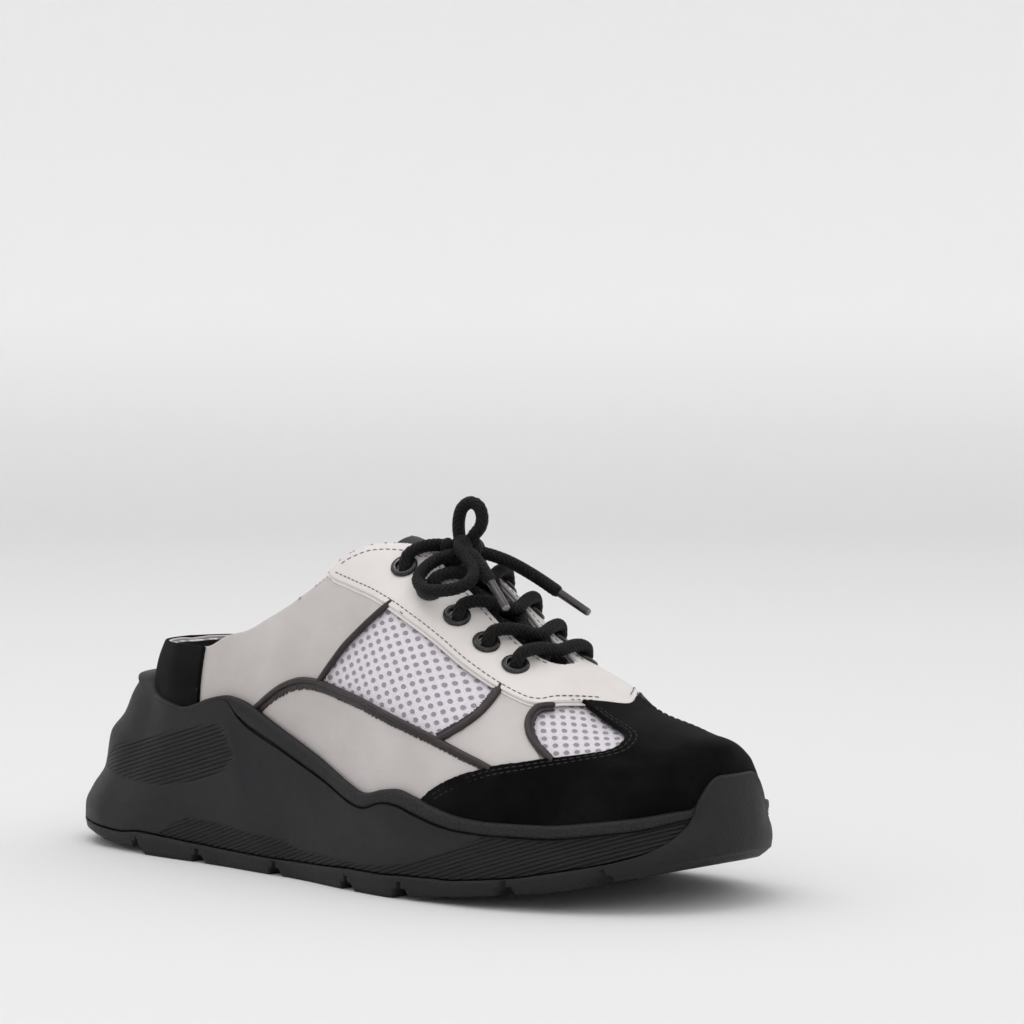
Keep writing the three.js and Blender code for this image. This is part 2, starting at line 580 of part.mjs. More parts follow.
// Outsole: the tread rubber under the parting line, which turns up round the toe as a
// bumper, with grooves between the lugs and a channel down the middle.
const partingTurn = 0.968; // share of the length where the tread turns up
const partingStep = 0.06; // share of the length between points of the parting line
const partingCorner = { back: 1.2, middle: 0.35, rise: 0.5, high: 0.55 }; // of the turn up
const bumperStart = 0.9; // share of the length behind the bumper
const bumperStep = 0.02;
const lugGrooves = [0.195, 0.307, 0.451, 0.591, 0.682, 0.823, 0.921];
function treadRegion(lift) {
  const line = [];
  for (let at = 0; at < partingTurn - partingStep / 2; at += partingStep) {
    line.push([soleBack + at * soleLength, treadAt(at) + lift]);
  }
  const turn = soleBack + partingTurn * soleLength - lift;
  const low = treadAt(partingTurn);
  const { back, middle, rise, high } = partingCorner;
  return sidePrism([
    [soleBack - beyond, -beyond],
    [soleBack + soleLength + beyond, -beyond],
    [soleBack + soleLength + beyond, 2 * sideHeight],
    [turn, 2 * sideHeight],
    [turn, THREE.MathUtils.lerp(low, rimAt(0.95), high) + lift],
    [turn - middle * toeOverhang, low + rise * beadHeight + lift],
    [turn - back * toeOverhang, treadAt(partingTurn - 0.02) + lift],
    ...line.reverse(),
    [soleBack - beyond, treadAt(0) + lift],
  ]);
}
function behindBumper(lift) {
  const line = [];
  for (let at = bumperStart; at <= 1.001; at += bumperStep) {
    line.push([soleBack + at * soleLength, treadAt(at) + lift]);
  }
  return sidePrism([
    ...line,
    [soleBack + soleLength + beyond, treadAt(1) + lift],
    [soleBack + soleLength + beyond, 2 * sideHeight],
    [soleBack + bumperStart * soleLength, 2 * sideHeight],
  ]);
}
const soleBody = soleForm();
const bumperBack = soleForm(bumperThickness).intersect(behindBumper(0));
const bumperRoom = soleForm(bumperThickness + fitGap, beyond).intersect(behindBumper(fitGap));
const cup = footPlug(fitGap, 0, () => 2 * sideHeight);

let outsole = soleBody.intersect(treadRegion(0)).subtract(bumperBack);
for (const at of lugGrooves) {
  const x = soleBack + at * soleLength;
  const z = springAt(at);
  const wide = lugGrooveWidth / 2;
  const narrow = lugSlitWidth / 2;
  outsole = outsole.subtract(sidePrism([
    [x - wide, z - toeSpring],
    [x + wide, z - toeSpring],
    [x + wide, z + lugGrooveDepth],
    [x + narrow, z + lugGrooveDepth],
    [x + narrow, z + lugSlitDepth],
    [x - narrow, z + lugSlitDepth],
    [x - narrow, z + lugGrooveDepth],
    [x - wide, z + lugGrooveDepth],
  ]));
}
const channelEnds = [lugGrooves[0], lugGrooves[4]].map((at) => soleBack + at * soleLength);
outsole = outsole.subtract(planPrism([
  [channelEnds[0], -channelWidth / 2],
  [channelEnds[1], -channelWidth / 2],
  [channelEnds[1], channelWidth / 2],
  [channelEnds[0], channelWidth / 2],
], -beyond, channelDepth));
outsole = outsole.subtract(cup);
add('outsole', toGeometry(outsole), colours.rubber);

// Midsole: the thick moulded wall above the parting line, with the room for the foot.
const treadRoom = treadRegion(fitGap).subtract(bumperRoom);
const midsole = soleBody.subtract(treadRoom).subtract(cup);
add('midsole', toGeometry(midsole), colours.rubber);

// Upper: one hollow wall round the last, open at the collar, the throat and underneath.
const lastSkin = lastForm(0);
const insideSkin = lastForm(-upperWall, beyond);
const laceHoles = [];
for (const side of [-1, 1]) {
  for (const { at, turn } of eyeletRows) {
    const { point, normal } = seatOn(at, side, turn, 0);
    laceHoles.push(toSolid(turnedTo(rod(eyeletHole / 2, 2 * eyeletDiameter, 7), point, normal)));
  }
}
const openCollar = collarCutter();
const openThroat = throatCutter();
const pierced = (solid) => laceHoles.reduce((left, hole) => left.subtract(hole), solid);
const upper = pierced(lastSkin.subtract(insideSkin).subtract(openCollar).subtract(openThroat));
add('upper', toGeometry(upper), colours.leather);

// Overlays: cut from the shell just outside the upper, and ending above the sole's rim.
const grownSole = soleForm(0, 1.5 * fitGap);
const overlayShell = lastForm(overlayOuter).subtract(lastForm(overlayInner, beyond));
const overlayFloor = 0.45 * instepHeight; // cutters seen from above start here
const overlaySkin = overlayShell.subtract(openCollar).subtract(openThroat).subtract(grownSole);

const eyestay = pierced(overlaySkin.intersect(eyestayRegion(0)));
add('eyestay', toGeometry(eyestay), colours.eyestay);

const capSide = sidePrism([
  ...capEdge.map(({ at, height }) => [alongUpper(at), height * instepHeight]),
  [alongUpper(0.93), 2 * instepHeight],
  [alongUpper(1.1), 2 * instepHeight],
  [alongUpper(1.1), 0],
  [alongUpper(0.63), 0],
]);
const capTop = planPrism(mirrored(capStrip, ({ at, half }, side) => [
  alongUpper(at),
  (side * half + along(upperSections, 'ridge', at)) * upperHalf,
]), overlayFloor);
const toeCap = overlaySkin.intersect(capSide.add(capTop)).subtract(eyestayRegion(fitGap));
add('toe_cap', toGeometry(toeCap), colours.suede);

const counterFront = 0.181; // share of the upper's length
const counterCutter = sidePrism([
  [alongUpper(-0.2), 0],
  [alongUpper(counterFront), 0],
  [alongUpper(counterFront), 2 * instepHeight],
  [alongUpper(-0.2), 2 * instepHeight],
]);
add('heel_counter', toGeometry(overlaySkin.intersect(counterCutter)), colours.suede);

// Insole: a board and sock that fill the floor of the upper.
const insole = footPlug(-upperWall - 2 * fitGap, fitGap, (at) => footbedAt(at) + fitGap + insoleThickness);
add('insole', toGeometry(insole), colours.textile);

// Tongue: a padded flap under the throat, just below the upper's inside.
const tongueShape = [
  { at: 0.468, half: 0.3 },
  { at: 0.474, half: 0.62 },
  { at: 0.492, half: 0.9 },
  { at: 0.53, half: 1.0 },
  { at: 0.66, half: 0.9 },
  { at: 0.78, half: 0.65 },
];
const tongueTop = -upperWall - fitGap;
const tongueShell = lastForm(tongueTop).subtract(lastForm(tongueTop - tongueThickness, beyond));
const tongue = tongueShell.intersect(planPrism(
  mirrored(tongueShape, ({ at, half }, side) => [alongUpper(at), (side * half * tongueWidth) / 2]),
  overlayFloor,
));
add('tongue', toGeometry(tongue), colours.textile);

// Piping: cords sewn into the seams between the side panels, each a route over the
// upper's surface in shares of its length and of the quarter turn up to the crown.
const pipingRoutes = {
  band: [
    { at: 0.31, turn: 0.105 },
    { at: 0.3365, turn: 0.145 },
    { at: 0.357, turn: 0.1725 },
    { at: 0.38, turn: 0.195 },
    { at: 0.43, turn: 0.224 },
    { at: 0.485, turn: 0.2325 },
    { at: 0.577, turn: 0.255 },
    { at: 0.625, turn: 0.266 },
    { at: 0.6845, turn: 0.2835 },
    { at: 0.757, turn: 0.273 },
  ],
  arch: [
    { at: 0.445, turn: 0.266 },
    { at: 0.4655, turn: 0.3175 },
    { at: 0.495, turn: 0.4025 },
    { at: 0.525, turn: 0.5 },
  ],
  vamp: [
    { at: 0.6925, turn: 0.316 },
    { at: 0.712, turn: 0.391 },
    { at: 0.725, turn: 0.466 },
    { at: 0.7295, turn: 0.545 },
  ],
  window: [
    { at: 0.7885, turn: 0.628 },
    { at: 0.7855, turn: 0.5875 },
    { at: 0.7885, turn: 0.5425 },
    { at: 0.8015, turn: 0.48 },
    { at: 0.8225, turn: 0.435 },
  ],
};
const pipingSteps = { band: 12, arch: 4, vamp: 4, window: 6 };
const sideNames = [['outer', -1], ['inner', 1]];
for (const [sideName, side] of sideNames) {
  for (const [name, rows] of Object.entries(pipingRoutes)) {
    const points = rows.map(({ at, turn }) => lastPoint(at, side, turn, pipingSeat + pipingDiameter / 2));
    add(`piping_${name}_${sideName}`, tube(points, pipingDiameter, pipingSteps[name], 6), colours.piping);
  }
}

// Eyelets: pressed metal rings seated on the eyestay round each lace hole.
for (const [sideName, side] of sideNames) {
  eyeletRows.forEach(({ at, turn }, i) => {
    const profile = [
      new THREE.Vector2(eyeletHole / 2, 0),
      new THREE.Vector2(eyeletDiameter / 2, 0),
      new THREE.Vector2(eyeletDiameter / 2 - eyeletSlope, eyeletThickness),
      new THREE.Vector2(eyeletHole / 2, eyeletThickness),
      new THREE.Vector2(eyeletHole / 2, 0),
    ];
    const ring = new THREE.LatheGeometry(profile, 8).rotateX(Math.PI / 2);
    const { point, normal } = seatOn(at, side, turn, overlayOuter + 1.5 * fitGap);
    add(`eyelet_${sideName}_${i + 1}`, turnedTo(ring, point, normal), colours.metal);
  });
}

// Lace over the throat: five bars, each from one eyelet of its row to the other, and the
// strands that cross under them, all joined.
const laceRadius = laceDiameter / 2;
const barHeight = overlayOuter + fitGap + laceRadius;
const ringTop = overlayOuter + 1.5 * fitGap + eyeletThickness;
const barDrift = 0.028; // share of the length that a bar slips down the instep
const barClearance = 0.8; // over the eyelets and the throat's edges, for the lace's bends
const barSag = 1.2; // of a bar into the throat
const onCrown = (at, across, height) => (
  lastPoint(at, across < 0 ? -1 : 1, 1 - Math.abs(across), height)
);
function laceBar({ at, turn, slip }) {
  const reach = 1 - turn;
  const drift = slip * barDrift;
  const half = (side) => {
    const { point, normal } = seatOn(at, side, turn, 0);
    const lift = (height) => point.clone().addScaledVector(normal, height);
    const overRing = barHeight + eyeletThickness + fitGap + barClearance;
    const rim = lastPoint(at + 0.2 * drift, side, 1 - 0.83 * reach, overRing);
    const shoulder = lastPoint(at + 0.5 * drift, side, 1 - 0.52 * reach, barHeight + barClearance);
    return [lift(ringTop + fitGap), lift(ringTop + 0.6 * laceRadius), rim, shoulder];
  };
  const middle = onCrown(at + drift, 0, barHeight - barSag);
  return tube([...half(-1), middle, ...half(1).reverse()], laceDiameter, 11);
}
function laceStrand(row, next) {
  const reach = (1 - row.turn) * 0.24;
  const low = -upperWall + laceRadius;
  return tube([
    onCrown(row.at + 0.85 * row.slip * barDrift, reach, barHeight - barSag),
    onCrown((row.at + next.at) / 2 + 0.9 * next.slip * barDrift, 0, low),
    onCrown(next.at + 0.85 * next.slip * barDrift, -reach, barHeight - barSag),
  ], laceDiameter, 4);
}
let lacing = toSolid(laceBar(eyeletRows[0]));
for (let i = 1; i < eyeletRows.length; i += 1) {
  lacing = lacing.add(toSolid(laceStrand(eyeletRows[i - 1], eyeletRows[i])));
  lacing = lacing.add(toSolid(laceBar(eyeletRows[i])));
}
add('lace_bars', toGeometry(lacing), colours.textile);

// Knot, bow and ends: each route is placed by hand, in millimetres. The knot's halves are
// shares of its length.
const knotCentre = [35.7, -7, 109.2];
const knotHalves = [0.24, 0.433, 0.247].map((share) => share * knotLength);
const knot = new THREE.SphereGeometry(1, 8, 6).scale(...knotHalves).translate(...knotCentre);
add('lace_knot', knot, colours.textile);

const cordRoutes = {
  lace_loop_up: [
    [34.7, -6.3, 113.2], [34.4, -6.2, 116.0], [34.5, -6.2, 119.4], [35.6, -5.8, 123.2],
    [38.3, -5.0, 125.1], [41.3, -4.2, 123.8], [42.6, -3.8, 120.3], [41.8, -4.0, 116.9],
    [39.3, -4.8, 114.0],
  ],
  lace_loop_side: [
    [35.0, -13.4, 107.5], [33.4, -16.0, 106.3], [32.0, -20.0, 103.6], [32.7, -24.5, 99.9],
    [38.7, -27.0, 97.1], [45.4, -26.5, 97.0], [50.2, -24.0, 97.9], [52.2, -20.5, 99.8],
    [51.5, -17.9, 101.8],
  ],
  lace_end_near: [
    [40.3, -9.3, 109.3], [46.1, -11.5, 107.4], [51.1, -13.0, 104.0], [55.1, -14.0, 100.4],
  ],
  lace_end_far: [
    [38.7, -0.3, 108.3], [40.4, 3.0, 107.4], [43.1, 7.5, 105.5], [45.8, 12.0, 102.9],
    [50.4, 15.8, 99.3], [56.1, 18.0, 95.5],
  ],
};
const cordSteps = { lace_loop_up: 11, lace_loop_side: 11, lace_end_near: 3, lace_end_far: 5 };
const cordPoints = (name) => cordRoutes[name].map(([x, y, z]) => new THREE.Vector3(x, y, z));
for (const name of Object.keys(cordRoutes)) {
  add(name, tube(cordPoints(name), laceDiameter, cordSteps[name]), colours.textile);
}

// Aglets: hard tips, in line with the last stretch of each end.
for (const [name, cord] of [['aglet_near', 'lace_end_near'], ['aglet_far', 'lace_end_far']]) {
  const [before, last] = cordPoints(cord).slice(-2);
  const forward = last.clone().sub(before).normalize();
  const centre = last.clone().addScaledVector(forward, fitGap + agletLength / 2);
  add(name, turnedTo(rod(agletDiameter / 2, agletLength, 8), centre, forward), colours.aglet);
}

// The origin lies under the middle of the sole's box.
const extent = new THREE.Box3();
for (const name of ['outsole', 'midsole']) extent.expandByObject(shoe.getObjectByName(name));
const middle = extent.getCenter(new THREE.Vector3());
shoe.position.set(-middle.x, -middle.y, 0);

export default shoe;
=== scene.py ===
# Sneaker mule, right shoe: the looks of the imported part, in metres, +X to the toe, +Z up,
# with the outer side of the foot on -Y.
import math

import bmesh
import bpy
import numpy as np
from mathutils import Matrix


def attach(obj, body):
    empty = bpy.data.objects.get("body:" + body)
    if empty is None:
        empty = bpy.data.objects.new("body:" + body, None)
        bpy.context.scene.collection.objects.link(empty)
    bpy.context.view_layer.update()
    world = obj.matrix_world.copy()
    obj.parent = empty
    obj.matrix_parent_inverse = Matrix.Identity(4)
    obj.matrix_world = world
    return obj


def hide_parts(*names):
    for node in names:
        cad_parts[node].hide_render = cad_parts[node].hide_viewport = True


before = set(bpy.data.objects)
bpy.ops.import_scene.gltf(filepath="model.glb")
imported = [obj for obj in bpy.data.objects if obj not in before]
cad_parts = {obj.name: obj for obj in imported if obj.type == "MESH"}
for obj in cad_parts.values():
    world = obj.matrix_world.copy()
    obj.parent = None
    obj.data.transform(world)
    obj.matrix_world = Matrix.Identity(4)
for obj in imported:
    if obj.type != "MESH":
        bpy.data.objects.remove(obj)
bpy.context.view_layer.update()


# Camera: a long lens a little over a metre away, level with the top of the shoe, that looks
# at its outer side and past its toe.
camera_data = bpy.data.cameras.new("photo_camera")
camera_data.lens = 105.68
camera_data.sensor_width = 36
camera_data.clip_end = 20
camera = bpy.data.objects.new("photo_camera", camera_data)
camera.location = (0.7144, -0.73576, 0.15255)
camera.rotation_euler = (math.radians(90 - 1.767), 0, math.radians(42))
bpy.context.scene.collection.objects.link(camera)
bpy.context.scene.camera = camera


# Studio: a pale bowl that is both floor and backdrop, a soft sky and one large soft lamp
# high over the shoe, with a small one in front of the toe.
class Value:
    """A shader socket; arithmetic on it adds Math nodes."""

    def __init__(self, finish, socket):
        self.finish = finish
        self.socket = socket

    def __add__(self, other):
        return self.finish.math("ADD", self, other)

    def __sub__(self, other):
        return self.finish.math("SUBTRACT", self, other)

    def __rsub__(self, other):
        return self.finish.math("SUBTRACT", other, self)

    def __mul__(self, other):
        return self.finish.math("MULTIPLY", self, other)

    def __truediv__(self, other):
        return self.finish.math("DIVIDE", self, other)

    __radd__ = __add__
    __rmul__ = __mul__


class Finish:
    """A material being made; its shader's even settings are given by socket name."""

    def __init__(self, name, settings):
        self.material = bpy.data.materials.new(name)
        self.material.use_nodes = True
        self.nodes = self.material.node_tree.nodes
        self.links = self.material.node_tree.links
        self.shader = self.nodes["Principled BSDF"]
        for socket, value in settings.items():
            self.shader.inputs[socket].default_value = value

    def fill(self, node, inputs):
        """Sets or links a node's input sockets."""
        for name, value in inputs.items():
            if isinstance(value, Value):
                self.links.new(value.socket, node.inputs[name])
            else:
                node.inputs[name].default_value = value

    def node(self, kind, inputs, output=0, **settings):
        """Any node: its settings first, then the values or links of its sockets."""
        made = self.nodes.new("ShaderNode" + kind)
        for name, value in settings.items():
            setattr(made, name, value)
        self.fill(made, inputs)
        return Value(self, made.outputs[output])

    def math(self, operation, *values):
        """A Math node on values and numbers."""
        return self.node("Math", dict(enumerate(values)), operation=operation)

    def noise(self, scale, detail=3.0, rough=0.55):
        """Noise from 0 to 1 with features of about one part in scale of a metre."""
        inputs = {"Vector": self.place(), "Scale": scale, "Detail": detail, "Roughness": rough}
        return self.node("TexNoise", inputs)

    def split(self, vector):
        """X, Y and Z of a vector."""
        made = self.node("SeparateXYZ", {"Vector": vector})
        return [Value(self, socket) for socket in made.socket.node.outputs]

    def place(self):
        """Object coordinates."""
        return self.node("TexCoord", {}, output="Object")

    def uv(self):
        """The piece's own UV map, in metres over its surface."""
        return self.node("UVMap", {}, uv_map="UVMap")

    def attribute(self, name):
        """A value that the mesh carries at its points."""
        return self.node("Attribute", {}, output="Fac", attribute_name=name)

    def step(self, value, low, high):
        """Smooth step of a value from 0 at low to 1 at high."""
        inputs = {"Value": value, "From Min": low, "From Max": high}
        return self.node("MapRange", inputs, interpolation_type="SMOOTHSTEP")

    def mix(self, share, first, second):
        """Colour between two colours."""
        made = self.nodes.new("ShaderNodeMix")
        made.data_type = "RGBA"
        for index, value in ((0, share), (6, first), (7, second)):
            if isinstance(value, Value):
                self.links.new(value.socket, made.inputs[index])
            elif index == 0:
                made.inputs[index].default_value = value
            else:
                made.inputs[index].default_value = (*value, 1)
        return Value(self, made.outputs[2])

    def bump(self, height, distance, strength=1.0):
        """Relief in metres that turns the shader's normal."""
        inputs = {"Height": height, "Distance": distance, "Strength": strength}
        return self.node("Bump", inputs)

    def done(self, **sockets):
        """Links varying values to the shader, with underscores for spaces."""
        named = {name.replace("_", " "): value for name, value in sockets.items()}
        self.fill(self.shader, named)
        return self.material


def make_piece(name, points, faces, materials, uv=None, values=None, face_material=None):
    """A mesh object from points and faces, smooth shaded, with its UV map and point values."""
    mesh = bpy.data.meshes.new(name)
    mesh.from_pydata(points, [], faces)
    for material in materials:
        mesh.materials.append(material)
    mesh.polygons.foreach_set("use_smooth", np.ones(len(faces), bool))
    if face_material is not None:
        mesh.polygons.foreach_set("material_index", np.asarray(face_material, np.int32))
    if uv is not None:
        corner = np.zeros(len(mesh.loops), np.int32)
        mesh.loops.foreach_get("vertex_index", corner)
        layer = mesh.uv_layers.new(name="UVMap")
        layer.data.foreach_set("uv", np.asarray(uv, np.float32)[corner].ravel())
    for key, value in (values or {}).items():
        layer = mesh.attributes.new(key, "FLOAT", "POINT")
        layer.data.foreach_set("value", np.asarray(value, np.float32))
    mesh.update()
    made = bpy.data.objects.new(name, mesh)
    bpy.context.scene.collection.objects.link(made)
    return made


def ring_quads(count, sides):
    """Quads between neighbouring rings of points."""
    k, i = np.meshgrid(np.arange(count - 1), np.arange(sides), indexing="ij")
    a = (k * sides + i).ravel()
    b = (k * sides + (i + 1) % sides).ravel()
    return np.stack([a, b, b + sides, a + sides], -1).tolist()


def make_lamp(name, place, aim, size, power):
    """A square soft lamp that faces its aim."""
    data = bpy.data.lights.new(name, "AREA")
    data.size = size
    data.energy = power
    lamp = bpy.data.objects.new(name, data)
    lamp.location = place
    direction = np.array(aim, float) - np.array(place, float)
    flat = math.hypot(direction[0], direction[1])
    turn = math.atan2(-direction[0], direction[1])
    lamp.rotation_euler = (math.atan2(flat, -direction[2]), 0, turn)
    bpy.context.scene.collection.objects.link(lamp)


bowl_steps = 96
bowl_floor = 3.0
bowl_height = 2.4
bowl_bend = np.linspace(0.1, math.pi / 2, 12)
bowl_profile = [(bowl_floor / 2, 0.0), (bowl_floor, 0.0)]
bowl_profile += [(bowl_floor + math.sin(a), 1 - math.cos(a)) for a in bowl_bend]
bowl_profile += [(bowl_floor + 1, bowl_height)]
bowl_angles = np.linspace(0, 2 * np.pi, bowl_steps, endpoint=False)
bowl_points = np.array([
    (radius * math.cos(a), radius * math.sin(a), height)
    for radius, height in bowl_profile for a in bowl_angles
] + [(0, 0, 0)])
bowl_faces = [face[::-1] for face in ring_quads(len(bowl_profile), bowl_steps)]
bowl_faces += [(len(bowl_points) - 1, i, (i + 1) % bowl_steps) for i in range(bowl_steps)]
paper = Finish("studio_paper", {"Roughness": 1.0, "Specular IOR Level": 0.0})
_, _, paper_height = paper.split(paper.place())
# Painted light: the paper is paler up the wall than on the floor, so the wall looks as bright as the
# floor.
wall_painted_light = paper.step(paper_height, 0.0, 0.35)
paper.done(Base_Color=paper.mix(wall_painted_light, (0.76, 0.76, 0.76), (0.93, 0.93, 0.93)))
bowl = make_piece("studio_bowl", bowl_points, bowl_faces, [paper.material])

sky = bpy.data.worlds.new("soft_sky")
sky.use_nodes = True
sky.node_tree.nodes["Background"].inputs["Color"].default_value = (1, 1, 1, 1)
sky.node_tree.nodes["Background"].inputs["Strength"].default_value = 0.97
bpy.context.scene.world = sky
bpy.context.scene.view_settings.view_transform = "Standard"
make_lamp("over_lamp", (-0.3, -0.5, 2.2), (0, 0, 0), 1.6, 10)
make_lamp("toe_lamp", (1.8, -1.0, 1.3), (0.05, 0, 0.05), 0.9, 4)


# Outsole: tread rubber under the parting line, moulded with the toe bumper that it turns up
# into. Its side edge shows the wide notches and narrow slits between the lugs.
upper_length = 0.245  # metres, as all sizes are where nothing else is said
upper_half = 0.0459
upper_back = -0.1085
sole_length = 0.285
sole_half = 0.053
sole_back = -0.1425
side_height = 0.066
rim_width = 0.003  # from the upper's outline to the outer side of the rim
tread_height = 0.007
toe_spring = 0.016
heel_lug_lift = 0.0024
bumper_height = 0.041
bead_unit = 0.006
least_bead = 0.0012
edge_rounding = 0.0065
bumper_proud = 0.0004
lip_width = 0.0024
notch_half = 0.0035
notch_slope = 0.0009
notch_depth = 0.0028
slit_half = 0.00099
slit_depth = 0.0049
lug_grooves = (0.195, 0.307, 0.451, 0.591, 0.682, 0.823, 0.921)  # shares of the length
plan_shift = np.array([-0.000156, -0.000418, 0.0])  # origin under the middle of the sole's box


def table(names, *rows):
    """Columns of a table by name. Each row is a station, and at is its share of the length."""
    values = np.array(rows, float)
    return {name: values[:, i] for i, name in enumerate(names.split())}


def along(rows, column, at, shape=lambda value: value):
    """Smooth curve through a column: cubic pieces whose slopes are the harmonic means of
    the slopes on both sides, and level where those change sign."""
    x = rows["at"]
    y = shape(rows[column])
    width = np.diff(x)
    rise = np.diff(y) / width
    slope = np.zeros_like(y)
    after = 2 * width[1:] + width[:-1]
    before = width[1:] + 2 * width[:-1]
    same_way = rise[:-1] * rise[1:] > 0
    first = np.where(same_way, rise[:-1], 1.0)
    second = np.where(same_way, rise[1:], 1.0)
    slope[1:-1] = np.where(same_way, (after + before) / (after / first + before / second), 0)
    slope[0] = rise[0]
    slope[-1] = rise[-1]
    place = np.clip(at, x[0], x[-1])
    i = np.clip(np.searchsorted(x, place, side="right") - 1, 0, len(width) - 1)
    t = (place - x[i]) / width[i]
    first = (y[i] * (1 + 2 * t) + slope[i] * width[i] * t) * (1 - t) ** 2
    last = (y[i + 1] * (3 - 2 * t) + slope[i + 1] * width[i] * (t - 1)) * t * t
    return first + last


def outline(plan, back, length, half, at, side):
    """Point of a plan outline and its unit normal into the shoe: x runs with at, y is the
    middle line plus or minus the root of the curve through the squared half widths."""
    def place(share):
        t = np.clip(share, 0, 1)
        wide = np.sqrt(np.maximum(along(plan, "half", t, np.square), 0))
        return back + t * length, (along(plan, "middle", t) + side * wide) * half
    step = 1e-4
    x, y = place(at)
    ahead = place(at + step)
    behind = place(at - step)
    dx = ahead[0] - behind[0]
    dy = ahead[1] - behind[1]
    size = np.hypot(dx, dy) + 1e-12
    end = np.where(at < step, 1.0, np.where(at > 1 - step, -1.0, 0.0))
    normal_x = np.where(end != 0, end, side * dy / size)
    normal_y = np.where(end != 0, 0.0, -side * dx / size)
    return x, y, normal_x, normal_y


def smooth(value, low, high):
    """Smooth step from 0 at low to 1 at high."""
    t = np.clip((value - low) / (high - low), 0, 1)
    return t * t * (3 - 2 * t)


def upper_outline(at, side, outward):
    """Outline of the upper's foot, moved outwards."""
    x, y, nx, ny = outline(upper_sections, upper_back, upper_length, upper_half, at, side)
    return x - outward * nx, y - outward * ny


upper_sections = table(
    "at middle half ridge base crown lean footbed",
    (0.0, 0.0, 0.0, 0.0, 0.88, 0.8, 1.0, 1.0), (0.035, 0.0, 0.438, 0.0, 0.86, 0.82, 0.8, 0.98),
    (0.067, 0.0, 0.556, 0.0, 0.84, 0.84, 0.65, 0.96), (0.116, -0.01, 0.654, 0.0, 0.8, 0.88, 0.43, 0.93),
    (0.19, -0.02, 0.693, 0.0, 0.74, 0.95, 0.2, 0.86),
    (0.263, -0.035, 0.702, 0.0, 0.68, 1.025, 0.07, 0.76),
    (0.361, -0.06, 0.72, 0.0, 0.61, 1.07, 0.0, 0.55), (0.443, -0.08, 0.75, 0.0, 0.54, 1.046, 0.0, 0.36),
    (0.484, -0.08, 0.785, 0.0, 0.5, 1.026, 0.0, 0.27), (0.533, -0.08, 0.855, 0.0, 0.46, 0.98, 0.0, 0.17),
    (0.578, -0.07, 0.905, 0.0, 0.43, 0.911, 0.0, 0.09),
    (0.627, -0.05, 0.95, 0.0, 0.41, 0.828, 0.0, 0.03), (0.676, -0.03, 0.98, 0.0, 0.39, 0.737, 0.0, 0.0),
    (0.72, -0.01, 0.995, 0.02, 0.38, 0.672, 0.0, 0.0), (0.769, 0.02, 1.0, 0.05, 0.37, 0.622, 0.0, 0.01),
    (0.818, 0.05, 0.965, 0.08, 0.37, 0.56, 0.0, 0.03), (0.862, 0.08, 0.91, 0.1, 0.37, 0.51, 0.0, 0.06),
    (0.903, 0.11, 0.835, 0.13, 0.37, 0.485, 0.0, 0.1),
    (0.943, 0.14, 0.715, 0.16, 0.38, 0.461, 0.0, 0.15), (0.97, 0.17, 0.56, 0.18, 0.39, 0.451, 0.0, 0.18),
    (0.988, 0.19, 0.38, 0.2, 0.4, 0.434, 0.0, 0.2), (1.0, 0.2, 0.0, 0.2, 0.41, 0.395, 0.0, 0.22),
)
sole_plan = table(
    "at middle half",
    (0.0, 0.0, 0.0), (0.05, 0.0, 0.58), (0.12, 0.0, 0.755), (0.22, -0.01, 0.8), (0.34, -0.03, 0.785),
    (0.46, -0.07, 0.79), (0.58, -0.07, 0.89), (0.68, -0.03, 0.98), (0.77, 0.02, 1.0), (0.86, 0.07, 0.91),
    (0.93, 0.11, 0.72), (0.975, 0.13, 0.47), (1.0, 0.14, 0.0),
)
sole_side = table(
    "at rim spring tread edge bead",
    (0.0, 0.945, 0, 1.25, 1.9, 0), (0.03, 0.938, 0, 1.23, 1.35, 0), (0.05, 0.925, 0, 1.2, 1.0, 0),
    (0.09, 0.885, 0, 1.12, 0.6, 0), (0.155, 0.838, 0, 0.98, 0.3, 0), (0.2, 0.823, 0, 1.13, 0.22, 0),
    (0.24, 0.807, 0, 1.07, 0.2, 0), (0.285, 0.791, 0, 0.98, 0.2, 0), (0.32, 0.814, 0, 0.92, 0.2, 0),
    (0.355, 0.853, 0, 0.87, 0.2, 0), (0.392, 0.874, 0, 0.845, 0.2, 0.25),
    (0.42, 0.86, 0, 0.83, 0.2, 1.1), (0.443, 0.834, 0, 0.82, 0.2, 1.35),
    (0.463, 0.801, 0, 0.825, 0.2, 1.33), (0.5, 0.735, 0, 0.86, 0.2, 1.17),
    (0.54, 0.668, 0, 0.92, 0.2, 1.12), (0.575, 0.604, 0, 0.99, 0.2, 1.03),
    (0.6, 0.558, 0, 1.04, 0.2, 0.98), (0.63, 0.51, 0, 1.04, 0.2, 0.97),
    (0.656, 0.477, 0, 1.04, 0.2, 0.85), (0.685, 0.506, 0.05, 1.0, 0.2, 0.74),
    (0.706, 0.518, 0.09, 0.92, 0.21, 0.9), (0.73, 0.494, 0.13, 0.86, 0.22, 0.98),
    (0.76, 0.452, 0.18, 0.76, 0.24, 0.92), (0.79, 0.42, 0.235, 0.76, 0.25, 0.8),
    (0.83, 0.406, 0.31, 0.77, 0.27, 0.73), (0.88, 0.407, 0.43, 0.88, 0.3, 0.75),
    (0.93, 0.43, 0.62, 0.9, 0.42, 0.71), (0.965, 0.454, 0.78, 0.82, 0.6, 0.66),
    (0.985, 0.475, 0.88, 0.76, 0.85, 0.5), (1.0, 0.485, 0.95, 0.7, 1.15, 0.2),
)
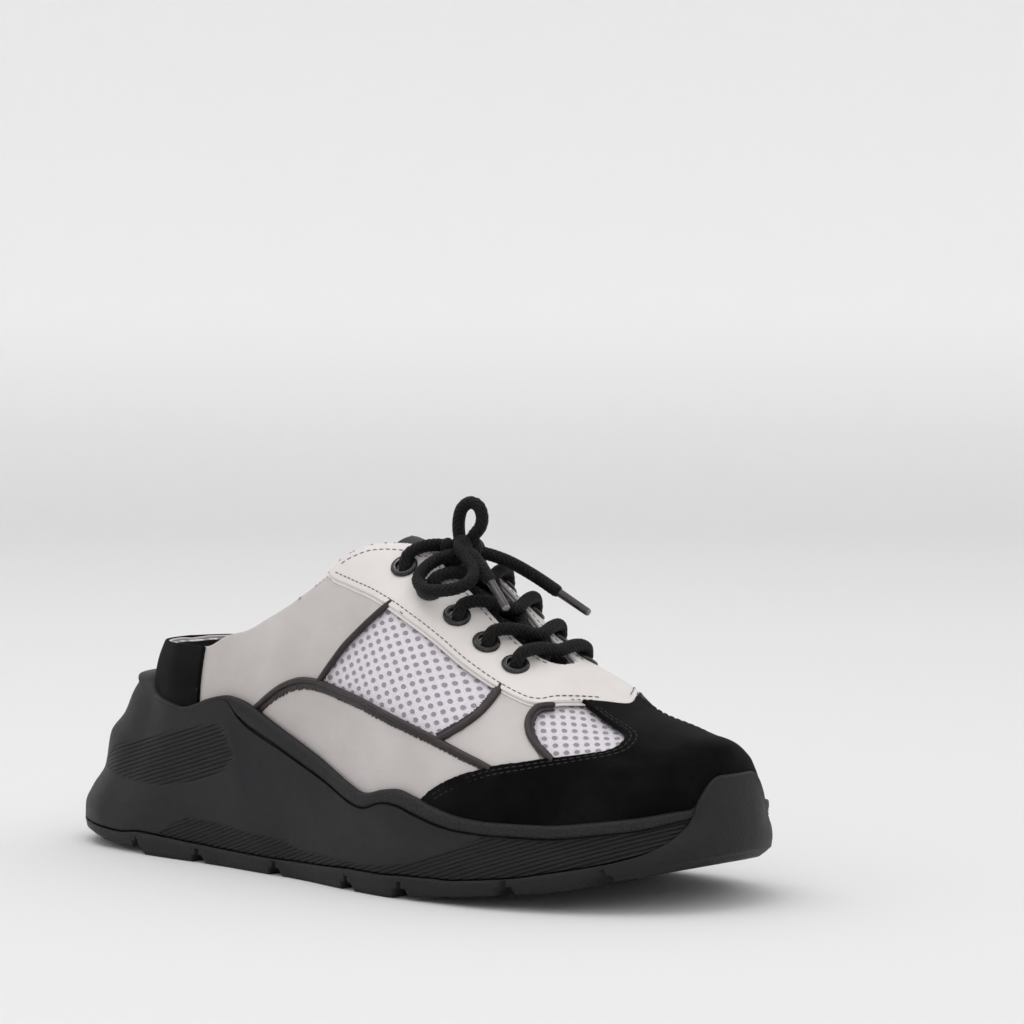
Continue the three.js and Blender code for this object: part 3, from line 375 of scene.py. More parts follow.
sole_wall = table(
    "at back side",
    (0.0, 0.0, 0.06), (0.1, 0.01, 0.0), (0.22, 0.12, 0.05), (0.37, 0.31, 0.2), (0.6, 0.385, 0.55),
    (0.74, 0.59, 0.74), (0.89, 0.72, 0.9), (1.0, 0.86, 0.95),
)
facing = table("at share", (0.0, 0.0), (0.05, 0.028), (0.12, 0.058), (0.2, 0.094), (1.0, 1.0))
bumper_rise = table(
    "at share",
    (0.0, 0.0), (0.925, 0.0), (0.9385, 0.03), (0.9537, 0.09), (0.9612, 0.15), (0.9684, 0.21),
    (0.9754, 0.29), (0.9824, 0.44), (0.9867, 0.585), (0.9895, 0.81), (0.9914, 0.96), (0.9925, 1.0),
    (1.0, 1.0),
)


def floor_at(at):
    """Underside of the tread: the toe spring and the lift of the last heel lug."""
    heel_lug = np.clip((0.2 - at) / 0.015, 0, 1)
    return along(sole_side, "spring", at) * toe_spring + heel_lug_lift * heel_lug


def tread_at(at):
    """Parting line between outsole and midsole."""
    return along(sole_side, "spring", at) * toe_spring + along(sole_side, "tread", at) * tread_height


def toe_rise(at):
    """How far the rim has risen to the bumper's top."""
    return smooth(at, 0.989, 0.9985)


def rim_at(at):
    """Top of the sole's wall."""
    side = along(sole_side, "rim", at) * side_height
    return side + (bumper_height - side) * toe_rise(at)


def wall_top(at):
    """Top of the wall under the rounded bead."""
    bead = along(sole_side, "bead", at) * bead_unit * (1 - toe_rise(at))
    return rim_at(at) - np.maximum(bead, least_bead)


def wall_point(at, side, inward, height, drawn):
    """Point of the sole's wall: inward is the share of the way from the widest outline to
    the rim's outline beside the upper, drawn a distance further in."""
    x, y, nx, ny = outline(sole_plan, sole_back, sole_length, sole_half, at, side)
    rim_x, rim_y = upper_outline(along(facing, "share", at), side, rim_width)
    wall_x = x + (rim_x - x) * inward + nx * drawn
    wall_y = y + (rim_y - y) * inward + ny * drawn
    return np.stack(np.broadcast_arrays(wall_x, wall_y, height), -1) + plan_shift


def wall_inward(at, rise):
    """Profile of the wall: one curve at the heel's back blends into one at the sides."""
    back = along(sole_wall, "back", rise)
    side = along(sole_wall, "side", rise)
    return side + (back - side) * (1 - smooth(at, 0.02, 0.24))


def walk_of(points):
    """Distance walked along a line of points, at each point."""
    steps = np.linalg.norm(np.diff(points, axis=0), axis=1)
    return np.concatenate([[0], np.cumsum(steps)])


def sole_stations(count, extra=()):
    """Shares of the length at even steps round the sole's outline, with some added."""
    fine = 0.5 - 0.5 * np.cos(np.linspace(0, np.pi, 4001))
    x, y, _, _ = outline(sole_plan, sole_back, sole_length, sole_half, fine, -1.0)
    walk = walk_of(np.stack([x, y], -1))
    even = np.interp(np.linspace(0, walk[-1], count), walk, fine)
    return np.unique(np.concatenate([even, extra]))


def ring_of(stations):
    """Stations and sides of a ring: heel, outer side, toe and home along the inner side."""
    at = np.concatenate([stations, stations[-2:0:-1]])
    side = np.concatenate([np.full(len(stations), -1.0), np.full(len(stations) - 2, 1.0)])
    return at, side


def ring_faces(count, rings):
    """Quads between rings of one count, and strips across the first and the last ring."""
    faces = ring_quads(rings, count)
    for first, flip in ((0, True), ((rings - 1) * count, False)):
        for j in range(count // 2):
            strip = list(dict.fromkeys([j, j + 1, count - j - 1, (count - j) % count]))
            if len(strip) > 2:
                face = [first + n for n in strip]
                faces.append(face[::-1] if flip else face)
    return faces


def notch_at(at):
    """Depth of the cut across the tread: a notch with sloping sides, and a slit above it."""
    deep = np.zeros_like(at)
    for groove in lug_grooves:
        away = np.abs(at - groove) * sole_length
        wide = notch_depth * np.clip((notch_half - away) / notch_slope, 0, 1)
        deep = np.maximum(deep, np.where(away < slit_half, slit_depth, wide))
    return deep


groove_corners = (slit_half - 0.00001, slit_half + 0.00001, notch_half - notch_slope, notch_half)
groove_edges = np.array([
    groove + way * offset / sole_length
    for groove in lug_grooves for offset in groove_corners for way in (-1, 1)
])
outsole_at, outsole_side = ring_of(sole_stations(330, groove_edges))
parting = tread_at(outsole_at) - 0.0001
bumper = along(bumper_rise, "share", outsole_at)
outsole_top = parting + (rim_at(outsole_at) - parting) * bumper
bottom = np.minimum(floor_at(outsole_at) + notch_at(outsole_at), parting - 0.0003)
edge_drawn = along(sole_side, "edge", outsole_at) * edge_rounding
outsole_rings = []


def outsole_inward(height):
    """Profile of the wall at a height above each station of the outsole."""
    share = (height - tread_at(outsole_at)) / (wall_top(outsole_at) - tread_at(outsole_at))
    return wall_inward(outsole_at, np.clip(share, 0, 1))


def add_outsole_ring(inward, height, drawn):
    """One more ring of the outsole."""
    outsole_rings.append(wall_point(outsole_at, outsole_side, inward, height, drawn))


for rise in np.concatenate([np.linspace(0, 0.5, 5), np.linspace(0.62, 1, 22)]):
    tread_side = np.minimum(bottom + (parting - bottom) * min(rise / 0.5, 1), parting)
    height = tread_side + (outsole_top - parting) * max((rise - 0.5) / 0.5, 0)
    share = (height - floor_at(outsole_at)) / (parting - floor_at(outsole_at))
    drawn = edge_drawn * np.interp(share, [0, 0.12, 0.45, 1], [1, 0.72, 0.1, 0])
    inward = outsole_inward(height) * smooth(height, parting, parting + 0.002)
    add_outsole_ring(inward, height, drawn - bumper_proud * smooth(bumper, 0.0, 0.15))
top_inward = outsole_inward(outsole_top) * smooth(bumper, 0.0, 0.1)
for drawn, lift in ((0.0001, 0.0003), (0.0006, 0.0007), (0.0013, 0.0008), (0.0019, 0.0004)):
    height = outsole_top + lift * smooth(bumper, 0, 0.3)
    add_outsole_ring(top_inward, height, drawn - bumper_proud * bumper)
add_outsole_ring(top_inward, outsole_top - 0.0004, lip_width)
add_outsole_ring(0.0, np.minimum(parting, outsole_top) - 0.0006, lip_width + 0.002)
outsole_points = np.concatenate(outsole_rings)
rib_fields = {"heel_field": (0.285, 0.00155), "side_field": (0.347, 0.00137)}  # slant and pitch


def rubber_finish():
    """Charcoal moulded rubber: dull, finely grained, with a stippled grain of paler beads where the mesh
    says so, and painted shade that darkens the rib troughs and the groove under the bead."""
    rubber = Finish("moulded_rubber", {"Specular IOR Level": 0.22})
    coarse = rubber.attribute("stipple")
    grain = rubber.noise(1500, 2.0) * 0.35 + rubber.noise(5200, 2.0) * 0.25
    forward, _, up = rubber.split(rubber.place())
    ribs = 0
    for field, (slant, pitch) in rib_fields.items():
        wave = rubber.math("COSINE", (up - forward * slant) * (2 * math.pi / pitch))
        ribs = rubber.step(wave, -0.3, 1.0) * rubber.attribute(field) + ribs
    beads = rubber.step(rubber.noise(1150, 1.0), 0.42, 0.62) * coarse
    cloud = rubber.noise(34, 4.0)
    colour = rubber.mix(cloud, (0.0100, 0.0094, 0.0108), (0.0165, 0.0152, 0.0172))
    colour = rubber.mix(beads * 0.3, colour, (0.028, 0.026, 0.028))
    # Painted shade: the colour darkens in the rib troughs and in the groove under the bead.
    painted_shade = rubber.math("MAXIMUM", rubber.attribute("hollow") * 0.85, ribs * 0.75)
    colour = rubber.mix(painted_shade, colour, (0.0022, 0.0021, 0.0024))
    rough = rubber.noise(260, 3.0) * 0.16 + 0.46
    relief = rubber.bump(grain + beads - ribs * 3.5, 0.00012, 0.9)
    return rubber.done(Base_Color=colour, Roughness=rough, Normal=relief)


rubber = rubber_finish()
outsole = make_piece(
    "outsole_tread", outsole_points, ring_faces(len(outsole_at), len(outsole_rings)), [rubber],
    values={"stipple": np.full(len(outsole_points), 0.4)},
)
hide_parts("outsole")
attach(outsole, "root")


# Midsole: one thick foamed rubber moulding with fine slanting ribs in two fields, a groove
# and a rounded bead under the upper, and the cup that the upper sits in.
heel_ribs = np.array([
    (-118, 29), (-115.3, 31.9), (-109.9, 36.5), (-100, 38.4), (-88.3, 41.1), (-72.2, 44.1), (-60.3, 47.0),
    (-50, 48.2), (-45.5, 45.5), (-38.8, 37.1), (-43.9, 32.0), (-55.6, 27.5), (-73.5, 24.3), (-93.8, 24.6),
    (-113.6, 27.2),
]) / 1000
side_ribs = np.array([
    (-76.0, 7.6), (-73.9, 9.8), (-60.1, 15.7), (-47.7, 15.3), (-31.9, 13.9), (-11, 12.8), (0, 10.9),
    (19.1, 10.2), (36.7, 9.9), (50, 11.2), (59.1, 13.0), (71, 17.6), (81.6, 22.0), (90, 40), (141, 60),
    (141, 0), (-60, 0),
]) / 1000


def inside_by(points, polygon):
    """Signed distance of plane points to a closed polygon, positive inside."""
    p = points.reshape(-1, 2)
    best = np.full(len(p), 1e9)
    odd = np.zeros(len(p), bool)
    for a, b in zip(polygon, np.roll(polygon, -1, axis=0)):
        edge = b - a
        t = np.clip(((p - a) @ edge) / max(edge @ edge, 1e-18), 0, 1)
        best = np.minimum(best, np.hypot(*(p - a - t[:, None] * edge).T))
        if a[1] != b[1]:
            crosses = (p[:, 1] < a[1]) != (p[:, 1] < b[1])
            odd ^= crosses & (p[:, 0] < a[0] + (p[:, 1] - a[1]) / (b[1] - a[1]) * edge[0])
    return np.where(odd, best, -best).reshape(points.shape[:-1])


rib_depth = 0.00025


def ribs_at(place):
    """Depth of the slanting ribs at a point of the wall: a rounded wave across their run,
    fading out at the edges of the two fields. Also how far the point is in either field."""
    x = place[..., 0]
    z = place[..., 2]
    seen = np.stack([x, z], -1)
    heel = smooth(inside_by(seen, heel_ribs), 0.0, 0.0012)
    low = smooth(inside_by(seen, side_ribs), 0.0, 0.0010)
    deep = 0
    for share, (slant, pitch) in zip((heel, low), rib_fields.values()):
        deep = deep + share * (0.5 + 0.5 * np.cos(2 * np.pi * (z - slant * x) / pitch))
    return rib_depth * deep, heel, low


wall_levels = 165
midsole_at, midsole_side = ring_of(sole_stations(225))
low_edge = tread_at(midsole_at)
high_edge = wall_top(midsole_at)
rim_top = rim_at(midsole_at)
toe_drop = 0.004 * toe_rise(midsole_at)
midsole_bumper = along(bumper_rise, "share", midsole_at)
bumper_line = low_edge + (rim_top - low_edge) * midsole_bumper
bead_share = np.minimum(1, along(sole_side, "bead", midsole_at)) * (1 - toe_rise(midsole_at))
forefoot = smooth(midsole_at, 0.55, 0.75)
midsole_rings = []
midsole_values = {"stipple": [], "hollow": [], "heel_field": [], "side_field": []}


def behind_bumper(height):
    """How far the wall is drawn in to make room for the bumper."""
    return 0.0028 * smooth(bumper_line - height, -0.0003, 0.0003) * smooth(midsole_bumper, 0.0, 0.05)


def add_midsole_ring(inward, height, drawn, **values):
    """One more ring of the midsole, and what its points carry: 0 where nothing is given."""
    midsole_rings.append(wall_point(midsole_at, midsole_side, inward, height, drawn))
    for name, rows in midsole_values.items():
        rows.append(np.zeros(len(midsole_at)) + values.get(name, 0))


for rise in np.linspace(0, 1, wall_levels):
    height = low_edge + (high_edge - low_edge) * rise
    inward = wall_inward(midsole_at, rise)
    ribs, heel, low = ribs_at(wall_point(midsole_at, midsole_side, inward, height, 0.0))
    below_bead = 1 - smooth(rise, 0.965, 0.985)
    drawn = ribs * below_bead + behind_bumper(height)
    drawn = drawn + 0.0006 * (1 - smooth(height - low_edge, 0, 0.0006))
    add_midsole_ring(inward, height, drawn, stipple=0.12, heel_field=heel * below_bead,
                     side_field=low * below_bead)
near_top = 0.95 - 0.15 * (1 - smooth(midsole_at, 0.02, 0.24))
for share, in_share, deep in (
    (-0.06, 0, 0.7), (-0.02, 0, 1.3), (0.06, 0, 1.4), (0.13, 0, 0.5), (0.2, 0, -0.2), (0.33, 0.2, -0.42),
    (0.5, 0.45, -0.46), (0.68, 0.7, -0.42), (0.82, 0.9, -0.2), (0.92, 1, 0.15), (0.985, 1, 0.7),
    (1.0, 1, 1.2),
):
    height = high_edge + (rim_top - high_edge) * share
    inward = near_top + (1 - near_top) * in_share
    fade = bead_share if in_share < 1 else 1
    drawn = 0.001 * deep * fade * (1 if deep > 0.9 else fade) + behind_bumper(height)
    rough = 0.12 + (0.1 + 0.78 * forefoot) * (share > 0.1)
    # Painted shade: this marks the groove under the bead so that the rubber's colour darkens there.
    groove = bead_share * (deep > 0.5) * (in_share == 0)
    add_midsole_ring(inward, height - toe_drop, drawn, stipple=rough, hollow=groove)
for drawn, drop in ((0.0019, -0.0001), (0.0024, 0.0003), (0.0027, 0.001), (0.0027, 0.008)):
    add_midsole_ring(1.0, rim_top - toe_drop - drop, drawn, stipple=0.1)
midsole = make_piece(
    "midsole_wall", np.concatenate(midsole_rings), ring_faces(len(midsole_at), len(midsole_rings)),
    [rubber], values={name: np.concatenate(rows) for name, rows in midsole_values.items()},
)
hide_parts("midsole")
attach(midsole, "root")


# Upper, inner layer: spacer mesh outside and a black lining inside, one closed wall that is
# open at the collar, at the throat and underneath.
instep_height = 0.113
heel_lean = 0.038
flat_across = 90.0  # millimetres that one quarter turn counts as in the flat pattern
ear_height = 0.110
low_collar = 0.0735
collar_end = 0.545  # shares of the length from here
throat_start = 0.35
throat_end = 0.7555
vamp_start = 0.76
throat_half = 9.25  # millimetres, as every distance to an edge is
far_off = 99.0
lining_level = -0.0020  # metres from the last's surface
mesh_level = -0.0008


def skin(at, v, outward):
    """Point of the upper's surface. v runs from -1 at the outer feather edge over 0 at the
    crown to 1 at the inner one; a quarter ellipse leads from the feather edge to the crown."""
    at = np.clip(at, 0, 1)
    side = np.where(v < 0, -1.0, 1.0)
    turn = np.clip(1 - np.abs(v), 0, 1)
    base_x, base_y = upper_outline(at, side, outward)
    wide = np.cos(turn * np.pi / 2)
    high = np.sin(turn * np.pi / 2)
    step = 1e-3
    ahead = along(upper_sections, "crown", at + step) * instep_height
    behind = along(upper_sections, "crown", at - step) * instep_height
    slope = (ahead - behind) / (2 * step * upper_length)
    crown = along(upper_sections, "crown", at) * instep_height
    crown = crown + outward * np.minimum(np.hypot(1, slope), 1.6)
    spine = upper_back - outward + at * (upper_length + 2 * outward)
    ridge = along(upper_sections, "ridge", at) * upper_half
    foot = along(upper_sections, "base", at) * side_height
    x = spine + (base_x - spine) * wide + along(upper_sections, "lean", at) * heel_lean * (1 - wide)
    y = ridge + (base_y - ridge) * wide
    z = foot + (crown - foot) * high
    return np.stack(np.broadcast_arrays(x, y, z), -1) + plan_shift


def flat_curve(points, steps=12, closed=False):
    """Smooth curve through points of the flat pattern: centripetal Catmull-Rom spans."""
    p = np.array(points, float)
    if closed:
        p = np.concatenate([p[-1:], p, p[:2]])
    else:
        p = np.concatenate([2 * p[:1] - p[1:2], p, 2 * p[-1:] - p[-2:-1]])
    made = []
    for a, b, c, d in zip(p[:-3], p[1:-2], p[2:-1], p[3:]):
        k1 = max(np.linalg.norm(b - a), 1e-9) ** 0.5
        k2 = k1 + max(np.linalg.norm(c - b), 1e-9) ** 0.5
        k3 = k2 + max(np.linalg.norm(d - c), 1e-9) ** 0.5
        k = np.linspace(k1, k2, steps, endpoint=False)[:, None]
        ab = (k1 - k) / k1 * a + k / k1 * b
        bc = (k2 - k) / (k2 - k1) * b + (k - k1) / (k2 - k1) * c
        cd = (k3 - k) / (k3 - k2) * c + (k - k2) / (k3 - k2) * d
        abc = (k2 - k) / k2 * ab + k / k2 * bc
        bcd = (k3 - k) / (k3 - k1) * bc + (k - k1) / (k3 - k1) * cd
        made.append((k2 - k) / (k2 - k1) * abc + (k - k1) / (k2 - k1) * bcd)
    if not closed:
        made.append(p[-2:-1])
    return np.concatenate(made)


def to_flat(at, v):
    """Shares of the length and v as millimetres of the flat pattern."""
    return np.stack(np.broadcast_arrays(at * upper_length * 1000, v * flat_across), -1)


def flat_rows(rows, side=1.0):
    """Given rows of at and v as millimetres of the flat pattern."""
    at, v = np.array(rows, float).T
    return to_flat(at, side * v)


def from_flat(line):
    """At and v of points of the flat pattern."""
    return line[:, 0] / (upper_length * 1000), line[:, 1] / flat_across


collar_line = table(
    "at low ear",
    (-0.05, 1, 0), (0.18, 1, 0), (0.225, 0.88, 0.12), (0.263, 0.82, 0.18), (0.3, 0.72, 0.28),
    (0.338, 0.59, 0.41), (0.372, 0.45, 0.55), (0.402, 0.3, 0.7), (0.413, 0.23, 0.77), (0.424, 0.14, 0.86),
    (0.444, 0.06, 0.94), (0.468, 0.01, 0.99), (0.49, 0, 1), (0.522, 0.015, 0.985), (0.545, 0.07, 0.93),
)
throat_shape = table(
    "at half",
    (throat_start, 1.15), (0.53, 1.1), (0.62, 1.02), (0.68, 0.9), (0.72, 0.77), (0.742, 0.62),
    (0.752, 0.40), (throat_end, 0.0),
)


def collar_height(at):
    """Height of the collar's edge, seen from the side."""
    return low_collar * along(collar_line, "low", at) + ear_height * along(collar_line, "ear", at)


def x_share(place):
    """Share of the upper's length at which a point lies."""
    return (place[..., 0] - plan_shift[0] - upper_back) / upper_length


def half_width(shape, share):
    """Half width of a shape that is rounded at its ends: root of the curve of its squares."""
    return np.sqrt(np.maximum(along(shape, "half", share, np.square), 0))


def open_by(at, v):
    """Signed distance in millimetres to the upper's outline, positive on the upper: below
    the collar's edge, outside the throat and above the feather edge."""
    place = skin(at, v, 0.0)
    share = x_share(place)
    below = (collar_height(share) - place[..., 2]) * 1000
    slope = (collar_height(share + 0.01) - collar_height(share - 0.01)) / (0.02 * upper_length)
    below = below / np.hypot(1, slope)
    beside = np.abs(place[..., 1] - plan_shift[1]) * 1000 - half_width(throat_shape, share) * throat_half
    ahead = (share - throat_end) * upper_length * 1000
    beside = np.where(share > throat_end, np.hypot(np.maximum(beside, 0), ahead), beside)
    below = np.where(share > collar_end, far_off, below)
    beside = np.where(share < throat_start, far_off, beside)
    return np.minimum(below, beside)


# Creases: middle at, middle v, run in millimetres along and across, turn in degrees,
# and height in millimetres.
creases = (
    (0.33, -0.50, 16, 3.0, -38, 0.35), (0.36, -0.58, 18, 3.2, -34, -0.30),
    (0.30, -0.62, 14, 3.0, -30, 0.25), (0.40, -0.66, 20, 3.5, -20, 0.25),
    (0.26, -0.66, 16, 4.0, -45, -0.25), (0.56, -0.86, 26, 4.0, 12, 0.25),
    (0.50, -0.83, 22, 3.4, 10, -0.22), (0.765, -0.56, 10, 2.4, 62, 0.22),
    (0.755, -0.62, 9, 2.2, 66, -0.2), (0.80, -0.12, 3.0, 13, 4, -0.3), (0.775, -0.10, 2.6, 12, 6, 0.25),
    (0.70, -0.85, 20, 3.2, 14, 0.2), (0.88, -0.30, 5, 14, 20, -0.25), (0.93, -0.55, 16, 5, 24, 0.3),
    (0.84, 0.16, 4, 14, -14, -0.3),
)


def crease_relief(at, v):
    """Soft troughs and ridges: long bell shapes along each crease, the same on both sides."""
    total = np.zeros(np.broadcast(at, v).shape)
    for middle, across, long_run, short_run, turn, height in creases:
        dx = (at - middle) * upper_length * 1000
        dy = (-np.abs(v) - across) * flat_across if across < 0 else (v - across) * flat_across
        c = math.cos(math.radians(turn))
        s = math.sin(math.radians(turn))
        u = (dx * c + dy * s) / long_run
        w = (dy * c - dx * s) / short_run
        total = total + height * np.exp(-u * u - w * w) / 1000
    return total


def panel(name, reach, away, low, high, materials, cell=1.1, rounding=0.00035, pattern=None):
    """A piece of leather or cloth on the last. away(at, v) is the signed distance in
    millimetres to its edge, positive inside; reach is its box in at and v. A grid is laid over
    it, points near the edge are moved onto it and cells outside dropped; the shell between
    low and high gets side walls and a rounded top edge, and closes on itself at the toe and
    heel. pattern(at, v) gives the UV map; without it, it is the flat pattern in metres."""
    pattern = pattern or (lambda at, v: to_flat(at, v) / 1000)
    columns = int((reach[1] - reach[0]) * upper_length * 1000 / cell) + 2
    rows = int((reach[3] - reach[2]) * flat_across / cell) + 2
    at = np.linspace(reach[0], reach[1], columns)[:, None] + np.zeros((1, rows))
    v = np.linspace(reach[2], reach[3], rows)[None, :] + np.zeros((columns, 1))
    inside = away(at, v)
    step_at = (reach[1] - reach[0]) / (columns - 1) * upper_length * 1000
    step_v = (reach[3] - reach[2]) / (rows - 1) * flat_across
    slope_at, slope_v = np.gradient(inside, step_at, step_v)
    size = np.maximum(np.hypot(slope_at, slope_v), 0.2)
    near = np.abs(inside) < 0.5 * cell * np.minimum(size, 2)
    border = np.zeros_like(near)
    border[0, :] = border[-1, :] = border[:, 0] = border[:, -1] = True
    near &= ~border
    back = np.where(near, -inside / size ** 2, 0)
    at = at + back * slope_at / (upper_length * 1000)
    v = v + back * slope_v / flat_across
    held = near | (inside > 0)
    number = np.arange(columns * rows).reshape(columns, rows)
    corners = np.stack([number[:-1, :-1], number[1:, :-1], number[1:, 1:], number[:-1, 1:]], -1)
    corners = corners.reshape(-1, 4)
    held_corners = held.ravel()[corners]
    three = held_corners.sum(1) == 3
    faces = corners[held_corners.all(1)].tolist() + [
        [n for n, keep in zip(face, flags) if keep]
        for face, flags in zip(corners[three], held_corners[three])
    ]
    used, position = np.unique(np.concatenate([np.array(f) for f in faces]), return_inverse=True)
    sizes = [len(face) for face in faces]
    faces = [part.tolist() for part in np.split(position, np.cumsum(sizes)[:-1])]
    at, v = at.ravel()[used], v.ravel()[used]
    inward_at, inward_v = (slope_at / size).ravel()[used], (slope_v / size).ravel()[used]
    edges = dict.fromkeys((a, b) for face in faces for a, b in zip(face, face[1:] + face[:1]))
    at_end = (at < 1e-6) | (at > 1 - 1e-6)
    rim = [(a, b) for a, b in edges if (b, a) not in edges and not (at_end[a] and at_end[b])]
    rim_points = np.array(sorted({n for edge in rim for n in edge}))
    rim_number = {n: i for i, n in enumerate(rim_points)}
    top_of = high if callable(high) else (lambda a, w: high)
    low_of = low if callable(low) else (lambda a, w: low)
    relief = crease_relief(at, v)

    def shifted(share):
        move = rounding * 1000 * share * ~at_end[rim_points]
        moved_at = at[rim_points] + inward_at[rim_points] * move / (upper_length * 1000)
        moved_v = v[rim_points] + inward_v[rim_points] * move / flat_across
        return moved_at, moved_v

    top_at, top_v = at.copy(), v.copy()
    top_at[rim_points], top_v[rim_points] = shifted(1.0)
    count = len(at)
    top = skin(top_at, top_v, top_of(top_at, top_v) + relief)
    under = skin(at, v, low_of(at, v) + relief)
    rings = [top, under]
    flat = [pattern(at, v)] * 2
    for share, fall in ((0.3, 0.3), (0.0, 1.0)):
        ring_at, ring_v = shifted(share)
        level = top_of(ring_at, ring_v) - rounding * fall
        rings.append(skin(ring_at, ring_v, level + relief[rim_points]))
        flat.append(pattern(ring_at, ring_v))
    loops = [
        rim_points,
        2 * count + np.arange(len(rim_points)),
        2 * count + len(rim_points) + np.arange(len(rim_points)),
        count + rim_points,
    ]
    made = faces + [[count + n for n in face[::-1]] for face in faces]
    kinds = [0] * len(faces) + [min(1, len(materials) - 1)] * len(faces)
    for first, second in zip(loops[:-1], loops[1:]):
        for a, b in rim:
            i, j = rim_number[a], rim_number[b]
            made.append([int(first[j]), int(first[i]), int(second[i]), int(second[j])])
            kinds.append(0)
    points = np.concatenate(rings)
    p, q, r = points[made[0][:3]]
    outwards = skin(top_at[made[0][0]], top_v[made[0][0]], 0.01) - p
    if np.cross(q - p, r - p) @ outwards < 0:
        made = [face[::-1] for face in made]
    piece = make_piece(name, points, made, materials, uv=np.concatenate(flat), face_material=kinds)
    shell = bmesh.new()
    shell.from_mesh(piece.data)
    ends = [point for point, number in zip(shell.verts, range(2 * count)) if at_end[number % count]]
    bmesh.ops.remove_doubles(shell, verts=ends, dist=0.00002)
    shell.to_mesh(piece.data)
    shell.free()
    return piece


mesh_steps = {
    "quarter": ((29.5, -35.7, 72.3), (3.06, 1.12, 0.98), (2.07, -0.85, -2.47)),
    "vamp": ((96.4, -19.2, 54.2), (2.32, 2.34, -0.11), (1.79, -1.68, -1.90)),
}


def mesh_rows(at, v):
    """Rows and columns of the mesh's holes: the place less one hole's place, in shares of the
    steps from hole to hole along a row and down a column. The vamp's mesh is another piece."""
    place = (skin(at, -np.abs(v), mesh_level) - plan_shift) * 1000
    found = []
    for hole, along_row, down_column in mesh_steps.values():
        steps = np.linalg.pinv(np.array([along_row, down_column]).T)
        found.append((place - np.array(hole)) @ steps.T)
    return np.where((at > vamp_start)[..., None], found[1], found[0])


def mesh_finish():
    """White spacer mesh: small round holes about 3.3 mm apart, painted grey inside as shade, in an open
    knit.
    """
    cloth = Finish("spacer_mesh", {"Roughness": 0.85, "Sheen Weight": 0.15})
    across, down, _ = cloth.split(cloth.uv())
    x = cloth.math("PINGPONG", across, 0.5) * 3.4  # millimetres from hole to hole
    y = cloth.math("PINGPONG", down, 0.5) * 3.3
    apart = cloth.math("SQRT", x * x + y * y) + cloth.noise(900, 2.0) * 0.35 - 0.17
    hole = 1 - cloth.step(apart, 0.68, 1.14)
    weave = cloth.noise(1500, 3.0)
    loops = 6 * math.pi  # three loops of yarn from hole to hole
    yarn = cloth.math("SINE", (across + down) * loops) * cloth.math("SINE", (across - down) * loops)
    knit = cloth.mix(weave * 0.8 + yarn * 0.2 + 0.1, (0.56, 0.525, 0.575), (0.88, 0.84, 0.90))
    # Painted shade: the holes are coloured grey for the shade inside them.
    colour = cloth.mix(hole * 0.85, knit, (0.225, 0.205, 0.22))
    relief = cloth.bump((1 - hole) + weave * 0.35 + yarn * 0.15, 0.0004, 0.9)
    return cloth.done(Base_Color=colour, Normal=relief)


def lining_finish():
    """Black knitted lining."""
    cloth = Finish("black_lining", {"Roughness": 0.95, "Sheen Weight": 0.15})
    weave = cloth.noise(2400, 2.0)
    colour = cloth.mix(weave, (0.008, 0.008, 0.009), (0.022, 0.021, 0.022))
    return cloth.done(Base_Color=colour, Normal=cloth.bump(weave, 0.00015, 0.8))


spacer_mesh = mesh_finish()
black_lining = lining_finish()
whole_upper = (0.0, 1.0, -1.0, 1.0)
base_layer = panel(
    "upper_mesh_and_lining", whole_upper, lambda at, v: open_by(at, v) - 0.5, lining_level, mesh_level,
    [spacer_mesh, black_lining], cell=1.35, rounding=0.0003, pattern=mesh_rows,
)
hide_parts("upper")
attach(base_layer, "root")


# Quarter and vamp: smooth warm grey leather over the inner layer, with two windows on each
# side that show the mesh.
large_window = (
    (0.446, -0.738), (0.4655, -0.680), (0.495, -0.5965), (0.523, -0.506), (0.543, -0.42), (0.60, -0.37),
    (0.68, -0.34), (0.729, -0.34), (0.7295, -0.40), (0.725, -0.535), (0.7115, -0.611), (0.696, -0.671),
    (0.684, -0.706), (0.650, -0.720), (0.60, -0.735), (0.535, -0.7505), (0.486, -0.762), (0.458, -0.766),
)
small_window = (
    (0.786, -0.345), (0.7855, -0.42), (0.792, -0.485), (0.806, -0.54), (0.823, -0.59), (0.840, -0.64),
    (0.87, -0.62), (0.90, -0.52), (0.915, -0.42), (0.915, -0.30), (0.90, -0.22), (0.86, -0.17),
    (0.80, -0.15),
)


window_curves = [flat_curve(flat_rows(rows), 6, closed=True) for rows in (large_window, small_window)]


def near_curve(at, v, curve):
    """Signed distance to a closed curve of the flat pattern, the same on both sides."""
    return inside_by(to_flat(at, -np.abs(v)), curve)


def leather_by(at, v):
    """The upper's outline less its windows."""
    windows = np.maximum(*[near_curve(at, v, curve) for curve in window_curves])
    return np.minimum(open_by(at, v), -windows)


def leather_finish(name, dark, pale, grain_scale, gloss):
    """Smooth coated leather: fine pebbled grain, faint cloudiness and a soft gloss."""
    leather = Finish(name, {"Specular IOR Level": 0.35})
    cloud = leather.noise(22, 4.0)
    pebbles = leather.node(
        "TexVoronoi", {"Vector": leather.place(), "Scale": grain_scale}, feature="SMOOTH_F1",
    )
    grain = pebbles + leather.noise(grain_scale * 0.6, 3.0) * 0.8
    wave = leather.noise(150, 2.0)
    colour = leather.mix(leather.step(cloud, 0.3, 0.7), dark, pale)
    rough = leather.noise(420, 2.0) * 0.12 + gloss
    relief = leather.bump(grain, 0.00007, 0.55)
    swell = {"Height": wave, "Distance": 0.0006, "Strength": 0.35, "Normal": relief}
    return leather.done(Base_Color=colour, Roughness=rough, Normal=leather.node("Bump", swell))


